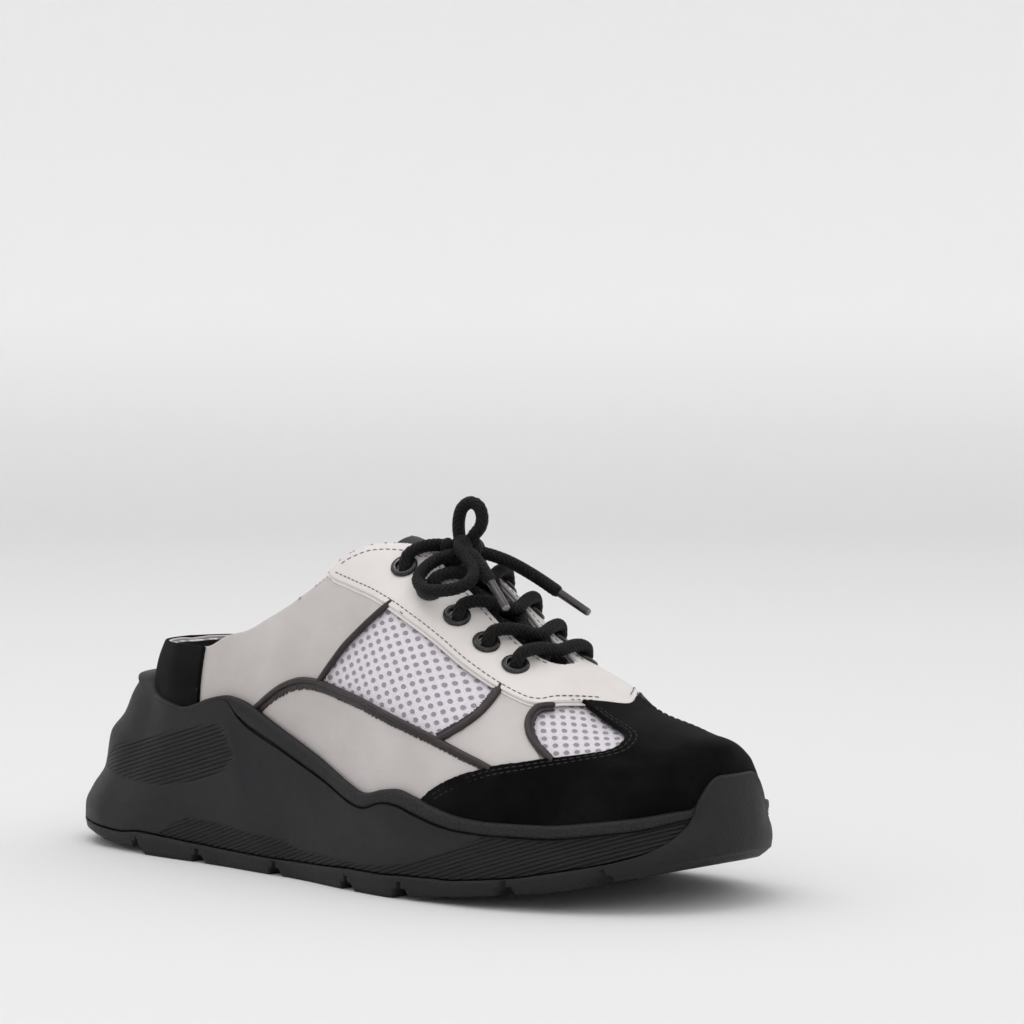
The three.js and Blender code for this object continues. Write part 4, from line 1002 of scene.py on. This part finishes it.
grey_leather = leather_finish(
    "grey_leather", (0.47, 0.435, 0.425), (0.565, 0.53, 0.52), grain_scale=1500, gloss=0.46,
)
quarter = panel(
    "quarter_and_vamp", whole_upper, leather_by, mesh_level, 0.0002, [grey_leather], cell=1.25,
)
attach(quarter, "root")


# Eyestay: pale leather laid over the instep, with a pointed ear at the collar and a rounded
# front that lies on the vamp.
eyestay_edge = (
    (0.405, -0.449), (0.422, -0.463), (0.450, -0.467), (0.478, -0.468), (0.537, -0.454), (0.598, -0.430),
    (0.650, -0.411), (0.700, -0.392), (0.730, -0.387), (0.755, -0.387), (0.775, -0.378), (0.790, -0.345),
    (0.800, -0.285), (0.815, -0.207), (0.831, -0.115), (0.842, -0.03), (0.8435, 0.05),
)
eyestay_curve = flat_curve(flat_rows(eyestay_edge), 6)
eyestay_curve = np.concatenate([eyestay_curve, [(206.6, 30), (90, 30), (90, -40.4)]])
hole_radius = 2.9
overlay_foot = 0.0003
# Lace holes: at, turn from the feather edge to the crown, and slip, how far the lace's bar
# slides down the instep as a share of the most.
eyelet_rows = (
    (0.534, 0.707, 1.0), (0.583, 0.714, 1.0), (0.631, 0.724, 1.0), (0.678, 0.748, 0.8),
    (0.7235, 0.76, 0.3),
)


def eyestay_by(at, v):
    """Above the eyestay's lower edge, and inside the collar and the throat."""
    return np.minimum(open_by(at, v), near_curve(at, v, eyestay_curve))


def lace_holes_by(at, v):
    """Distance outside the ten lace holes, in millimetres."""
    place = skin(at, v, 0.0)
    best = np.full(np.broadcast(at, v).shape, far_off)
    for hole_at, turn, _ in eyelet_rows:
        for side in (-1, 1):
            centre = skin(hole_at, side * (1 - turn), 0.0)
            best = np.minimum(best, np.linalg.norm(place - centre, axis=-1) * 1000 - hole_radius)
    return best


pale_leather = leather_finish(
    "pale_leather", (0.665, 0.625, 0.61), (0.745, 0.705, 0.69), grain_scale=1700, gloss=0.42,
)
eyestay = panel(
    "eyestay_overlay", (0.39, 0.85, -0.56, 0.56),
    lambda at, v: np.minimum(eyestay_by(at, v), lace_holes_by(at, v)),
    overlay_foot, 0.0015, [pale_leather], cell=1.0, rounding=0.00045,
)
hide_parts("eyestay")
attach(eyestay, "root")


# Toe cap: black suede drawn round the toe, with a strip that climbs the crown to the
# eyestay and a rough-cut edge.
cap_edge = (
    (0.6685, -0.940), (0.6865, -0.894), (0.717, -0.829), (0.7585, -0.7525), (0.807, -0.664),
    (0.8485, -0.5625), (0.868, -0.510), (0.8865, -0.459), (0.8975, -0.400), (0.898, -0.340),
    (0.895, -0.294), (0.886, -0.255), (0.862, -0.220), (0.829, -0.2025), (0.79, -0.19),
)
suede_top = 0.00145
cap_curve = flat_curve(flat_rows(cap_edge), 6)
cap_curve = np.concatenate([cap_curve, [(193.5, 20), (300, 20), (300, -140), (163.8, -140)]])


def ragged(at, v, pitch, deep):
    """Uneven teeth of a rough-cut edge: mixed sines over the flat pattern."""
    x = at * upper_length * 1000
    y = np.abs(v) * flat_across
    even = np.sin(x * 6.28 / pitch) * np.sin(y * 6.28 / pitch + 1.3)
    uneven = np.sin(x * 9.7 / pitch + 2.1 + 3 * np.sin(y * 0.9)) * np.cos(y * 8.9 / pitch)
    return deep * (even + 0.6 * uneven)


def above_rim(at, v):
    """Distance of the surface above a line 3 mm down inside the sole's rim, in millimetres."""
    sole_at = np.interp(at, facing["share"], facing["at"])
    rim = along(sole_side, "rim", sole_at) * side_height
    return (skin(at, v, 0.0009)[..., 2] - rim + 0.003) * 1000


def cap_by(at, v):
    """In front of the cap's edge, and above the sole's rim."""
    edge = near_curve(at, v, cap_curve) + ragged(at, v, 1.3, 0.16)
    return np.minimum(edge, above_rim(at, v))


def suede_finish():
    """Black suede: deep nap that catches light at its brushed clouds."""
    suede = Finish("black_suede", {
        "Roughness": 1.0, "Specular IOR Level": 0.03, "Sheen Weight": 0.05, "Sheen Roughness": 0.45,
    })
    nap = suede.noise(3200, 3.0, 0.7) + suede.noise(900, 2.0) * 0.5
    brushed = suede.noise(55, 3.0)
    cloud = suede.step(brushed, 0.35, 0.7)
    colour = suede.mix(cloud, (0.0030, 0.0029, 0.0031), (0.0075, 0.0070, 0.0073))
    return suede.done(Base_Color=colour, Normal=suede.bump(nap, 0.00022, 1.0))


black_suede = suede_finish()
toe_cap = panel(
    "toe_cap_suede", (0.63, 1.0, -1.0, 1.0), cap_by, overlay_foot, suede_top, [black_suede],
    cell=1.0, rounding=0.0004,
)
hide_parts("toe_cap")
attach(toe_cap, "root")


# Heel counter: a band of the same suede round the low back, sewn to the quarters and tucked
# into the sole.
counter_end = 0.181


def counter_by(at, v):
    """Behind the counter's seam, and between the collar and the sole's rim."""
    seam = (counter_end - x_share(skin(at, v, 0.0))) * upper_length * 1000
    seam = seam + ragged(at, v, 1.6, 0.05)
    return np.minimum(np.minimum(seam, open_by(at, v) - 0.3), above_rim(at, v))


counter = panel(
    "heel_counter_suede", (0.0, 0.30, -1.0, 1.0), counter_by, overlay_foot, suede_top, [black_suede],
    cell=1.0, rounding=0.0004,
)
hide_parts("heel_counter")
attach(counter, "root")


# Underlay of the eyestay: a thinner strip of the same leather that shows as a second line
# along its lower edge.
def underlay_by(at, v):
    """A little beyond the eyestay's lower edge, and a little back from the openings."""
    return np.minimum(open_by(at, v) - 0.6, near_curve(at, v, eyestay_curve) + 0.8)


underlay = panel(
    "eyestay_underlay", (0.39, 0.86, -0.58, 0.58),
    lambda at, v: np.minimum(underlay_by(at, v), lace_holes_by(at, v)),
    0.0002, 0.0006, [pale_leather], cell=1.2, rounding=0.0002,
)
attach(underlay, "root")


# Tongue: a thin padded flap of black cloth under the throat; its bound top edge shows above
# the ears.
tongue_half = 23
tongue_end = 0.785
tongue_shape = table(
    "at half",
    (0.466, 0.0), (0.469, 0.35), (0.476, 0.66), (0.492, 0.9), (0.53, 1.0), (0.66, 0.9),
    (tongue_end, 0.65),
)


def tongue_by(at, v):
    """Inside the tongue's plan, in millimetres."""
    place = skin(at, v, -0.0023)
    share = x_share(place)
    beside = half_width(tongue_shape, share) * tongue_half - np.abs(place[..., 1] - plan_shift[1]) * 1000
    ends = np.minimum(share - 0.4665, tongue_end - share) * upper_length * 1000
    return np.minimum(beside, ends)


def tongue_sink(at):
    """The tongue's top lies back from the ears."""
    return 0.0013 * (1 - smooth(at, 0.50, 0.57))


tongue = panel(
    "tongue_pad", (0.43, 0.81, -0.6, 0.6), tongue_by, lambda at, v: -0.0052 - tongue_sink(at),
    lambda at, v: -0.0024 - tongue_sink(at), [black_lining], cell=1.2, rounding=0.0011,
)
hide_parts("tongue")
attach(tongue, "root")


# Insole: a cushioned sock of black cloth that fills the floor of the shoe, a little dished
# under the heel.
def footbed_at(at):
    """Height of the foot's bed inside the sole."""
    return 0.020 + 0.022 * along(upper_sections, "footbed", at)


insole_at, insole_side = ring_of(0.5 - 0.5 * np.cos(np.linspace(0, np.pi, 90)))
insole_x, insole_y = upper_outline(insole_at, insole_side, -0.0027)
insole_middle = along(upper_sections, "middle", insole_at) * upper_half
insole_rings = []
for spread, height in (
    (0.98, 0.0004), (1.0, 0.0006), (1.0, 0.0026), (0.985, 0.0031), (0.95, 0.0033), (0.8, 0.0031),
    (0.6, 0.0027), (0.4, 0.0025), (0.2, 0.0024), (0.01, 0.0024),
):
    across = insole_middle + (insole_y - insole_middle) * spread
    lift = footbed_at(insole_at) + height
    insole_rings.append(np.stack([insole_x, across, lift], -1) + plan_shift)
insole = make_piece(
    "insole_sock", np.concatenate(insole_rings), ring_faces(len(insole_at), len(insole_rings)),
    [black_lining],
)
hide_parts("insole")
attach(insole, "root")


# Piping: thin cords wrapped in dark brown leather, sewn into the seams between the panels.
# Beside three of them the panel's raw edge shows as a dark rough-cut strip.
def path_frames(path):
    """Unit tangents of a path, and two normals carried along it without twist."""
    tangent = np.gradient(path, axis=0)
    tangent /= np.linalg.norm(tangent, axis=1)[:, None]
    first = np.zeros_like(path)
    start = np.cross(tangent[0], [0.0, 0.0, 1.0])
    if np.linalg.norm(start) < 0.1:
        start = np.cross(tangent[0], [0.0, 1.0, 0.0])
    first[0] = start / np.linalg.norm(start)
    for i in range(1, len(path)):
        carried = first[i - 1] - tangent[i] * (first[i - 1] @ tangent[i])
        first[i] = carried / np.linalg.norm(carried)
    return tangent, first, np.cross(tangent, first)


def even_path(points, spacing):
    """A smooth curve through points, at even steps of its length."""
    curve = flat_curve(points, 16)
    walk = walk_of(curve)
    steps = max(int(walk[-1] / spacing), 4) + 1
    even = np.linspace(0, walk[-1], steps)
    return np.stack([np.interp(even, walk, curve[:, i]) for i in range(curve.shape[1])], -1)


def closed_tube(count, sides):
    """Quads between rings of points, and a flat face on the first and on the last ring."""
    last = (count - 1) * sides
    ends = [list(range(sides))[::-1], list(range(last, last + sides))]
    return ring_quads(count, sides) + ends


def tube_mesh(path, radius, sides, swell=None):
    """Points, faces and UVs of a round tube along a path, closed by rounded ends. swell
    adds to the radius at each step along and around."""
    tangent, first, second = path_frames(path)
    angle = np.linspace(0, 2 * np.pi, sides, endpoint=False)
    walk = walk_of(path)
    size = np.full((len(path), sides), radius)
    if swell is not None:
        size = size + swell(walk[:, None], angle[None, :])
    rim = np.cos(angle)[:, None] * first[:, None] + np.sin(angle)[:, None] * second[:, None]
    caps = []
    for end, way in ((0, -1), (-1, 1)):
        for lean in (0.5, 0.85):
            centre = path[end] + tangent[end] * way * radius * lean
            caps.append(centre + rim[end] * radius * math.sqrt(1 - lean * lean))
    body = path[:, None] + rim * size[..., None]
    points = np.concatenate([caps[1][None], caps[0][None], body, caps[2][None], caps[3][None]])
    faces = closed_tube(len(points), sides)
    length = np.concatenate([[walk[0]] * 2, walk, [walk[-1]] * 2])
    around = np.where(angle > np.pi, angle - 2 * np.pi, angle) * radius
    uv = np.stack(np.broadcast_arrays(length[:, None], around[None, :]), -1).reshape(-1, 2)
    return points.reshape(-1, 3), faces, uv


def join_meshes(parts):
    """Several meshes as one: each is its points and faces, and its UVs where it has them."""
    faces = []
    first = 0
    for points, part_faces, *_ in parts:
        faces += [[first + n for n in face] for face in part_faces]
        first += len(points)
    points, _, *uvs = zip(*parts)
    return np.concatenate(points), faces, *[np.concatenate(uv) for uv in uvs]


piping_routes = {
    "band": (
        (0.2995, -0.919), (0.3055, -0.905), (0.32, -0.881), (0.3365, -0.855), (0.357, -0.8275),
        (0.3775, -0.806), (0.398, -0.789), (0.4195, -0.779), (0.4405, -0.774), (0.486, -0.7675),
        (0.5345, -0.755), (0.5765, -0.745), (0.6255, -0.734), (0.6845, -0.716), (0.7485, -0.726),
        (0.770, -0.737),
    ),
    "arch": (
        (0.436, -0.774), (0.441, -0.7575), (0.4525, -0.7225), (0.4655, -0.6825), (0.479, -0.641),
        (0.495, -0.5975), (0.51, -0.5525), (0.523, -0.5075), (0.5345, -0.461), (0.541, -0.434),
    ),
    "vamp": (
        (0.682, -0.714), (0.6965, -0.669), (0.712, -0.609), (0.725, -0.534), (0.73, -0.459),
        (0.7295, -0.39), (0.728, -0.3675),
    ),
    "window": (
        (0.797, -0.316), (0.7905, -0.3425), (0.7865, -0.3675), (0.7855, -0.4125), (0.7885, -0.4575),
        (0.7945, -0.494), (0.8015, -0.52), (0.8105, -0.5425), (0.82, -0.56), (0.832, -0.58),
        (0.842, -0.5975),
    ),
}


def piping_finish():
    """Dark brown leather drawn tight over a cord: fine cross wrinkles and a soft gloss."""
    leather = Finish("piping_leather", {"Specular IOR Level": 0.3})
    wrinkle = leather.noise(1700, 3.0)
    colour = leather.mix(leather.noise(300, 2.0), (0.019, 0.0145, 0.0150), (0.045, 0.034, 0.035))
    rough = leather.noise(600, 2.0) * 0.2 + 0.30
    return leather.done(Base_Color=colour, Roughness=rough, Normal=leather.bump(wrinkle, 0.00018, 0.7))


piping_leather = piping_finish()
piping_radius = 0.00112
for side_name, side in (("outer", 1.0), ("inner", -1.0)):
    parts = []
    for rows in piping_routes.values():
        line = skin(*from_flat(flat_curve(flat_rows(rows, side), 14)), 0.0006)
        parts.append(tube_mesh(even_path(line[::6], 0.0008), piping_radius, 14))
    points, faces, uv = join_meshes(parts)
    cords = make_piece("piping_cords_" + side_name, points, faces, [piping_leather], uv=uv)
    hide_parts(*["piping_%s_%s" % (route, side_name) for route in piping_routes])
    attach(cords, "root")


def moved_aside(line, distance):
    """A line of the flat pattern moved to its left."""
    tangent = np.gradient(line, axis=0)
    tangent /= np.linalg.norm(tangent, axis=1)[:, None]
    return line + distance * np.stack([-tangent[:, 1], tangent[:, 0]], -1)


raw_strips = []
for route, width in (("band", -2.05), ("vamp", 2.1), ("window", 2.0)):
    line = flat_curve(flat_rows(piping_routes[route]), 8)
    raw_strips.append(np.concatenate([line, moved_aside(line, width)[::-1]]))


def raw_edge_by(at, v):
    """Inside one of the raw strips, with rough-cut teeth."""
    inside = np.maximum.reduce([near_curve(at, v, strip) for strip in raw_strips])
    teeth = ragged(at, v, 1.05, 0.30)
    return np.minimum(inside + teeth, open_by(at, v))


for side_name, reach in (("outer", (0.28, 0.86, -0.98, -0.28)), ("inner", (0.28, 0.86, 0.28, 0.98))):
    raw = panel(
        "raw_edge_" + side_name, reach, raw_edge_by, 0.00015, 0.0007, [piping_leather], cell=0.5,
        rounding=0.00012,
    )
    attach(raw, "root")


# Eyelets: pressed metal rings, black and glossy, with a thin band of bright bare metal where the
# barrel turns over: a painted highlight along that edge.
def seat_on(at, side, turn, outward):
    """Point on the upper and its outward unit normal."""
    step = 0.004
    v = side * (1 - turn)
    forward = skin(at + step, v, outward) - skin(at - step, v, outward)
    up = skin(at, v - side * step, outward) - skin(at, v + side * step, outward)
    normal = np.cross(forward, up) * -side
    return skin(at, v, outward), normal / np.linalg.norm(normal)


def spokes(direction, sides):
    """Unit vectors across a direction, at even angles round it."""
    first = np.cross(direction, [0.0, 1.0, 0.0])
    first /= np.linalg.norm(first)
    angle = np.linspace(0, 2 * np.pi, sides, endpoint=False)[:, None]
    return np.cos(angle) * first + np.sin(angle) * np.cross(direction, first)


eyelet_profile = np.array([
    (4.60, -0.25), (4.66, 0.10), (4.48, 0.50), (4.05, 0.82), (3.55, 0.93), (3.15, 0.86), (2.92, 0.66),
    (2.78, 0.30), (2.72, -0.60), (2.70, -2.60), (2.95, -2.60), (3.0, -0.25),
]) / 1000
painted_highlight_row = 5  # row of the profile where the barrel turns over
eyelet_sides = 44
profile_count = len(eyelet_profile)
eyelet_count = profile_count * eyelet_sides
ring_parts = []
ring_kinds = []
for hole_at, turn, _ in eyelet_rows:
    for side in (-1.0, 1.0):
        centre, normal = seat_on(hole_at, side, turn, 0.0017)
        out, up = eyelet_profile[:, None, :1], eyelet_profile[:, None, 1:]
        points = centre + out * spokes(normal, eyelet_sides) + up * normal
        quads = [[n % eyelet_count for n in quad] for quad in ring_quads(profile_count + 1, eyelet_sides)]
        ring_parts.append((points.reshape(-1, 3), quads))
        ring_kinds += [int(n // eyelet_sides == painted_highlight_row) for n in range(eyelet_count)]
black_metal = Finish("black_metal", {"Specular IOR Level": 0.4})
metal_marks = black_metal.noise(900, 3.0)
black_metal = black_metal.done(
    Base_Color=black_metal.mix(metal_marks, (0.008, 0.008, 0.008), (0.02, 0.02, 0.02)),
    Roughness=metal_marks * 0.15 + 0.16, Normal=black_metal.bump(metal_marks, 0.00003, 0.5),
)
# Painted highlight: a band of pale bare metal where the barrel turns over stands in for the light on that
# edge.
painted_highlight_metal = Finish("painted_highlight_metal", {"Metallic": 1.0})
painted_highlight_marks = painted_highlight_metal.noise(900, 3.0)
painted_highlight_metal = painted_highlight_metal.done(
    Base_Color=painted_highlight_metal.mix(painted_highlight_marks, (0.35, 0.34, 0.33), (0.62, 0.61, 0.60)),
    Roughness=painted_highlight_marks * 0.2 + 0.2,
)
points, faces = join_meshes(ring_parts)
eyelets = make_piece(
    "eyelet_rings", points, faces, [black_metal, painted_highlight_metal], face_material=ring_kinds,
)
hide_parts(*["eyelet_%s_%d" % (side, n) for side in ("outer", "inner") for n in range(1, 6)])
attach(eyelets, "root")


# Lace: one round braided cord of black yarn, 4.2 mm thick. Five bars cross the throat from
# eyelet to eyelet and slip down the instep; the runs between the rows cross beneath them.
lace_radius = 0.0021
braid_pitch = 0.00175
braid_columns = 8


def braid_swell(walk, angle):
    """Radius of the braid: chevrons of yarn, pointed along the cord in eight columns."""
    column = angle / (2 * np.pi) * braid_columns
    fold = np.abs(((column / 2) % 1) - 0.5) * 2
    wave = np.cos(2 * np.pi * (walk / braid_pitch + fold))
    return 0.00013 * wave


def braid_finish():
    """Black polyester yarn: chevron stitches, shade painted in their troughs, fine filaments, faint
    sheen.
    """
    yarn = Finish("braided_yarn", {"Specular IOR Level": 0.14, "Sheen Weight": 0.03})
    length, around, _ = yarn.split(yarn.uv())
    column = around * (braid_columns / (4 * math.pi * lace_radius)) + 40
    fold = yarn.math("PINGPONG", column, 0.5) * 2
    wave = yarn.math("COSINE", (length / braid_pitch + fold) * (2 * math.pi))
    filament = yarn.math("SINE", (length * 3.0 + fold * 0.0042) * 9000) * 0.12
    # Painted shade and highlight: the colour follows the braid's wave, darker in the troughs, paler on
    # the crests.
    colour = yarn.mix(wave * 0.5 + 0.5, (0.0020, 0.0020, 0.0022), (0.0105, 0.0100, 0.0105))
    rough = yarn.noise(900, 2.0) * 0.2 + 0.5
    relief = yarn.bump(wave * 0.5 + filament + yarn.noise(5000, 2.0) * 0.3, 0.00022, 0.9)
    return yarn.done(Base_Color=colour, Roughness=rough, Normal=relief)


braided_yarn = braid_finish()
bar_height = 0.0018 + lace_radius
bar_drift = 0.028


def bar_path(at, turn, slip):
    """Out of one eyelet, over the throat with a little sag, and into the other."""
    reach = 1 - turn
    drift = slip * bar_drift
    halves = []
    for side in (-1.0, 1.0):
        seat, normal = seat_on(at, side, turn, 0.0)
        tucked = skin(at + 0.1 * drift, side * reach * 0.80, -0.0046)
        rise = skin(at + 0.15 * drift, side * 0.91 * reach, bar_height + 0.0001)
        rim = skin(at + 0.35 * drift, side * 0.74 * reach, bar_height + 0.0006)
        shoulder = skin(at + 0.68 * drift, side * 0.44 * reach, bar_height + 0.0001)
        halves.append([tucked, seat - normal * 0.0014, seat + normal * 0.0014, rise, rim, shoulder])
    middle = skin(at + drift, 0.0, bar_height - 0.0012)
    return np.array(halves[0] + [middle] + halves[1][::-1])


def under_path(row, following, way, drop):
    """From behind one edge of the throat, over the tongue, to behind the other edge."""
    reach = 0.36 * (1 - row[1]) * way
    start, end = row[0], following[0]
    drift, end_drift = row[2] * bar_drift, following[2] * bar_drift
    return np.array([
        skin(start + 0.5 * drift, reach * 1.6, -0.0044),
        skin(start + 0.8 * drift, reach * 0.75, 0.0006 - drop),
        skin((start + end) / 2 + 0.9 * end_drift, 0.0, -0.0003 - drop),
        skin(end + 0.55 * end_drift, -reach * 0.75, 0.0006 - drop),
        skin(end + 0.5 * end_drift, -reach * 1.6, -0.0044),
    ])


def lace_mesh(points, spacing=0.0004, sides=20):
    """The braided lace along a smooth curve through points."""
    return tube_mesh(even_path(points, spacing), lace_radius, sides, braid_swell)


lace_parts = [lace_mesh(bar_path(*row)) for row in eyelet_rows]
for row, following in zip(eyelet_rows[:-1], eyelet_rows[1:]):
    for way, drop in ((1.0, 0.0), (-1.0, 0.0022)):
        lace_parts.append(lace_mesh(under_path(row, following, way, drop), 0.0006, 16))
points, faces, uv = join_meshes(lace_parts)
bars = make_piece("lace_over_throat", points, faces, [braided_yarn], uv=uv)
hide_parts("lace_bars")
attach(bars, "root")


# Bow: the two lace ends, each tied into one loop, with the knot's turns round both and a
# dark plastic tip on each end. Each end is a free cord from the knot.
def cord_points(rows):
    """Given millimetres as metres in the part's frame."""
    return np.array(rows, float) / 1000 + plan_shift


side_bow = cord_points([
    (35.8, -9.0, 108.2), (35.8, -12.0, 107.8), (33.2, -15.5, 106.2), (32.0, -20.0, 103.6),
    (32.9, -24.3, 100.0), (38.7, -27.0, 97.1), (45.4, -26.5, 97.0), (50.2, -24.0, 97.9),
    (52.2, -20.5, 99.8), (50.7, -16.5, 102.8), (45.3, -13.4, 106.6), (40.0, -11.6, 109.4),
    (37.6, -9.4, 111.2), (38.8, -8.9, 111.0), (41.2, -9.8, 109.2), (46.1, -11.5, 107.4),
    (51.1, -13.0, 104.0), (55.1, -14.0, 100.4),
])
upright_bow = cord_points([
    (34.6, -5.4, 109.0), (35.6, -6.2, 111.6), (34.5, -6.2, 114.2), (34.3, -6.2, 119.1),
    (35.5, -5.8, 123.1), (38.3, -5.0, 125.0), (41.2, -4.2, 123.9), (42.6, -3.8, 120.3),
    (41.9, -4.0, 116.9), (39.8, -4.6, 114.3), (37.6, -4.2, 111.6), (37.4, -1.8, 109.4),
    (38.7, 0.2, 108.3), (40.4, 3.0, 107.4), (43.1, 7.5, 105.5), (45.8, 12.0, 102.9), (50.4, 15.8, 99.3),
    (56.1, 18.0, 95.5),
])
knot_turns = np.linspace(0, 1, 26)
knot_path = cord_points(np.stack([
    36.4 + 3.3 * np.cos(knot_turns * 11.0 + 2.4),
    -11.3 + 8.2 * knot_turns,
    109.4 + 2.9 * np.sin(knot_turns * 11.0 + 2.4),
], -1))


tip_sides = 24


def make_tip(name, last, before, node):
    """A hard plastic tip in line with the cord's last stretch: a sleeve with a pinched,
    paler end."""
    forward = (last - before) / np.linalg.norm(last - before)
    walk = np.array([-0.5, 0.0, 0.3, 1.0, 7.0, 13.1, 13.3, 13.9]) / 1000
    size = np.array([1.2, 1.55, 1.62, 1.45, 1.40, 1.34, 1.3, 0.9]) / 1000
    rings = last + walk[:, None, None] * forward + size[:, None, None] * spokes(forward, tip_sides)
    tip = make_piece(
        name, rings.reshape(-1, 3), closed_tube(len(walk), tip_sides), [tip_plastic],
        values={"pale": np.repeat(walk > 0.0132, tip_sides)},
    )
    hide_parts(node)
    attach(tip, "root")
    return tip


tip_finish = Finish("tip_plastic", {"Specular IOR Level": 0.6, "Coat Weight": 0.3})
tip_cloud = tip_finish.noise(400, 2.0)
tip_colour = tip_finish.mix(tip_cloud, (0.012, 0.009, 0.010), (0.040, 0.031, 0.033))
tip_plastic = tip_finish.done(
    Base_Color=tip_finish.mix(tip_finish.attribute("pale"), tip_colour, (0.16, 0.15, 0.15)),
    Roughness=tip_cloud * 0.15 + 0.16,
)
knot_points, knot_faces, knot_uv = lace_mesh(knot_path)
knot = make_piece("lace_knot_turns", knot_points, knot_faces, [braided_yarn], uv=knot_uv)
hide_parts("lace_knot")
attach(knot, "root")
near_tip = make_tip("lace_tip_near", side_bow[-1], side_bow[-2], "aglet_near")
far_tip = make_tip("lace_tip_far", upright_bow[-1], upright_bow[-2], "aglet_far")
for name, route, tips, nodes in (
    ("lace_bow_side", side_bow, [knot, near_tip], ("lace_loop_side", "lace_end_near")),
    ("lace_bow_upright", upright_bow, [far_tip], ("lace_loop_up", "lace_end_far")),
):
    path = even_path(route, 0.0004)
    points, faces, uv = lace_mesh(route)
    bow = make_piece(name, points, faces, [braided_yarn], uv=uv)
    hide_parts(*nodes)
    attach(bow, "root")
    length = float(walk_of(path)[-1])


# Stitches: lockstitch in grey thread along the eyestay's edges and in black on the suede.
def stitch_mesh(line, spacing, length, radius):
    """Short rounded stitches along a line of points: each is a small capsule that lies
    along the line and dips in at both ends."""
    walk = walk_of(line)
    steps = np.linspace(-0.5, 0.5, 5) * length
    size = radius * np.array([0.35, 0.9, 1.0, 0.9, 0.35])
    parts = []
    for middle in np.arange(spacing / 2, walk[-1], spacing):
        place = np.stack([np.interp(middle + steps, walk, line[:, i]) for i in range(3)], -1)
        tangent = place[-1] - place[0]
        tangent /= np.linalg.norm(tangent)
        rings = place[:, None] + size[:, None, None] * spokes(tangent, 6)
        parts.append((rings.reshape(-1, 3), closed_tube(5, 6)))
    return parts


def on_offset(field, inset, ats, start, stop):
    """The v at which a distance field reaches an inset, found by halving between two v."""
    low = np.full_like(ats, start)
    high = np.full_like(ats, stop)
    for _ in range(26):
        middle = (low + high) / 2
        inside = field(ats, middle) > inset
        high = np.where(inside, middle, high)
        low = np.where(inside, low, middle)
    return (low + high) / 2


def inset_line(rows, inset):
    """At and v of a line beside given rows."""
    return from_flat(moved_aside(flat_curve(flat_rows(rows), 8), inset))


thread_level = 0.00156
suede_thread_level = 0.0014
ear_at = np.concatenate([np.linspace(0.427, 0.49, 30), np.linspace(0.492, 0.55, 24)])
ear_v = on_offset(open_by, 2.3, ear_at, -0.05, -0.47)
on_ear = ear_v > -0.455
throat_at = np.linspace(0.565, 0.745, 60)
throat_v = on_offset(open_by, 1.9, throat_at, -0.02, -0.4)
eyestay_lines = (
    (*inset_line(eyestay_edge[1:-2], 1.9), 0.0022, 0.0016),
    (ear_at[on_ear], ear_v[on_ear], 0.0025, 0.0017),
    (throat_at, throat_v, 0.0025, 0.0017),
)
cap_lines = [inset_line(cap_edge[1:-1], inset) for inset in (-1.7, -3.3)]
thread_parts = []
suede_parts = []
for side in (1.0, -1.0):
    for at, v, spacing, length in eyestay_lines:
        thread_parts += stitch_mesh(skin(at, side * v, thread_level), spacing, length, 0.0002)
    for at, v in cap_lines:
        suede_parts += stitch_mesh(skin(at, side * v, suede_thread_level), 0.0023, 0.0018, 0.00022)


def thread_finish(name, dark, pale):
    """Twisted polyester thread."""
    thread = Finish(name, {"Roughness": 0.6})
    twist = thread.noise(4000, 2.0)
    return thread.done(Base_Color=thread.mix(twist, dark, pale), Normal=thread.bump(twist, 0.0001, 0.8))


grey_thread = thread_finish("grey_thread", (0.06, 0.055, 0.055), (0.16, 0.15, 0.15))
black_thread = thread_finish("black_thread", (0.0025, 0.0025, 0.0025), (0.006, 0.006, 0.006))
for name, parts, thread, slot in (
    ("eyestay_stitches", thread_parts, grey_thread, "pale_leather"),
    ("suede_stitches", suede_parts, black_thread, "black_suede"),
):
    points, faces = join_meshes(parts)
    stitches = make_piece(name, points, faces, [thread])
    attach(stitches, "root")
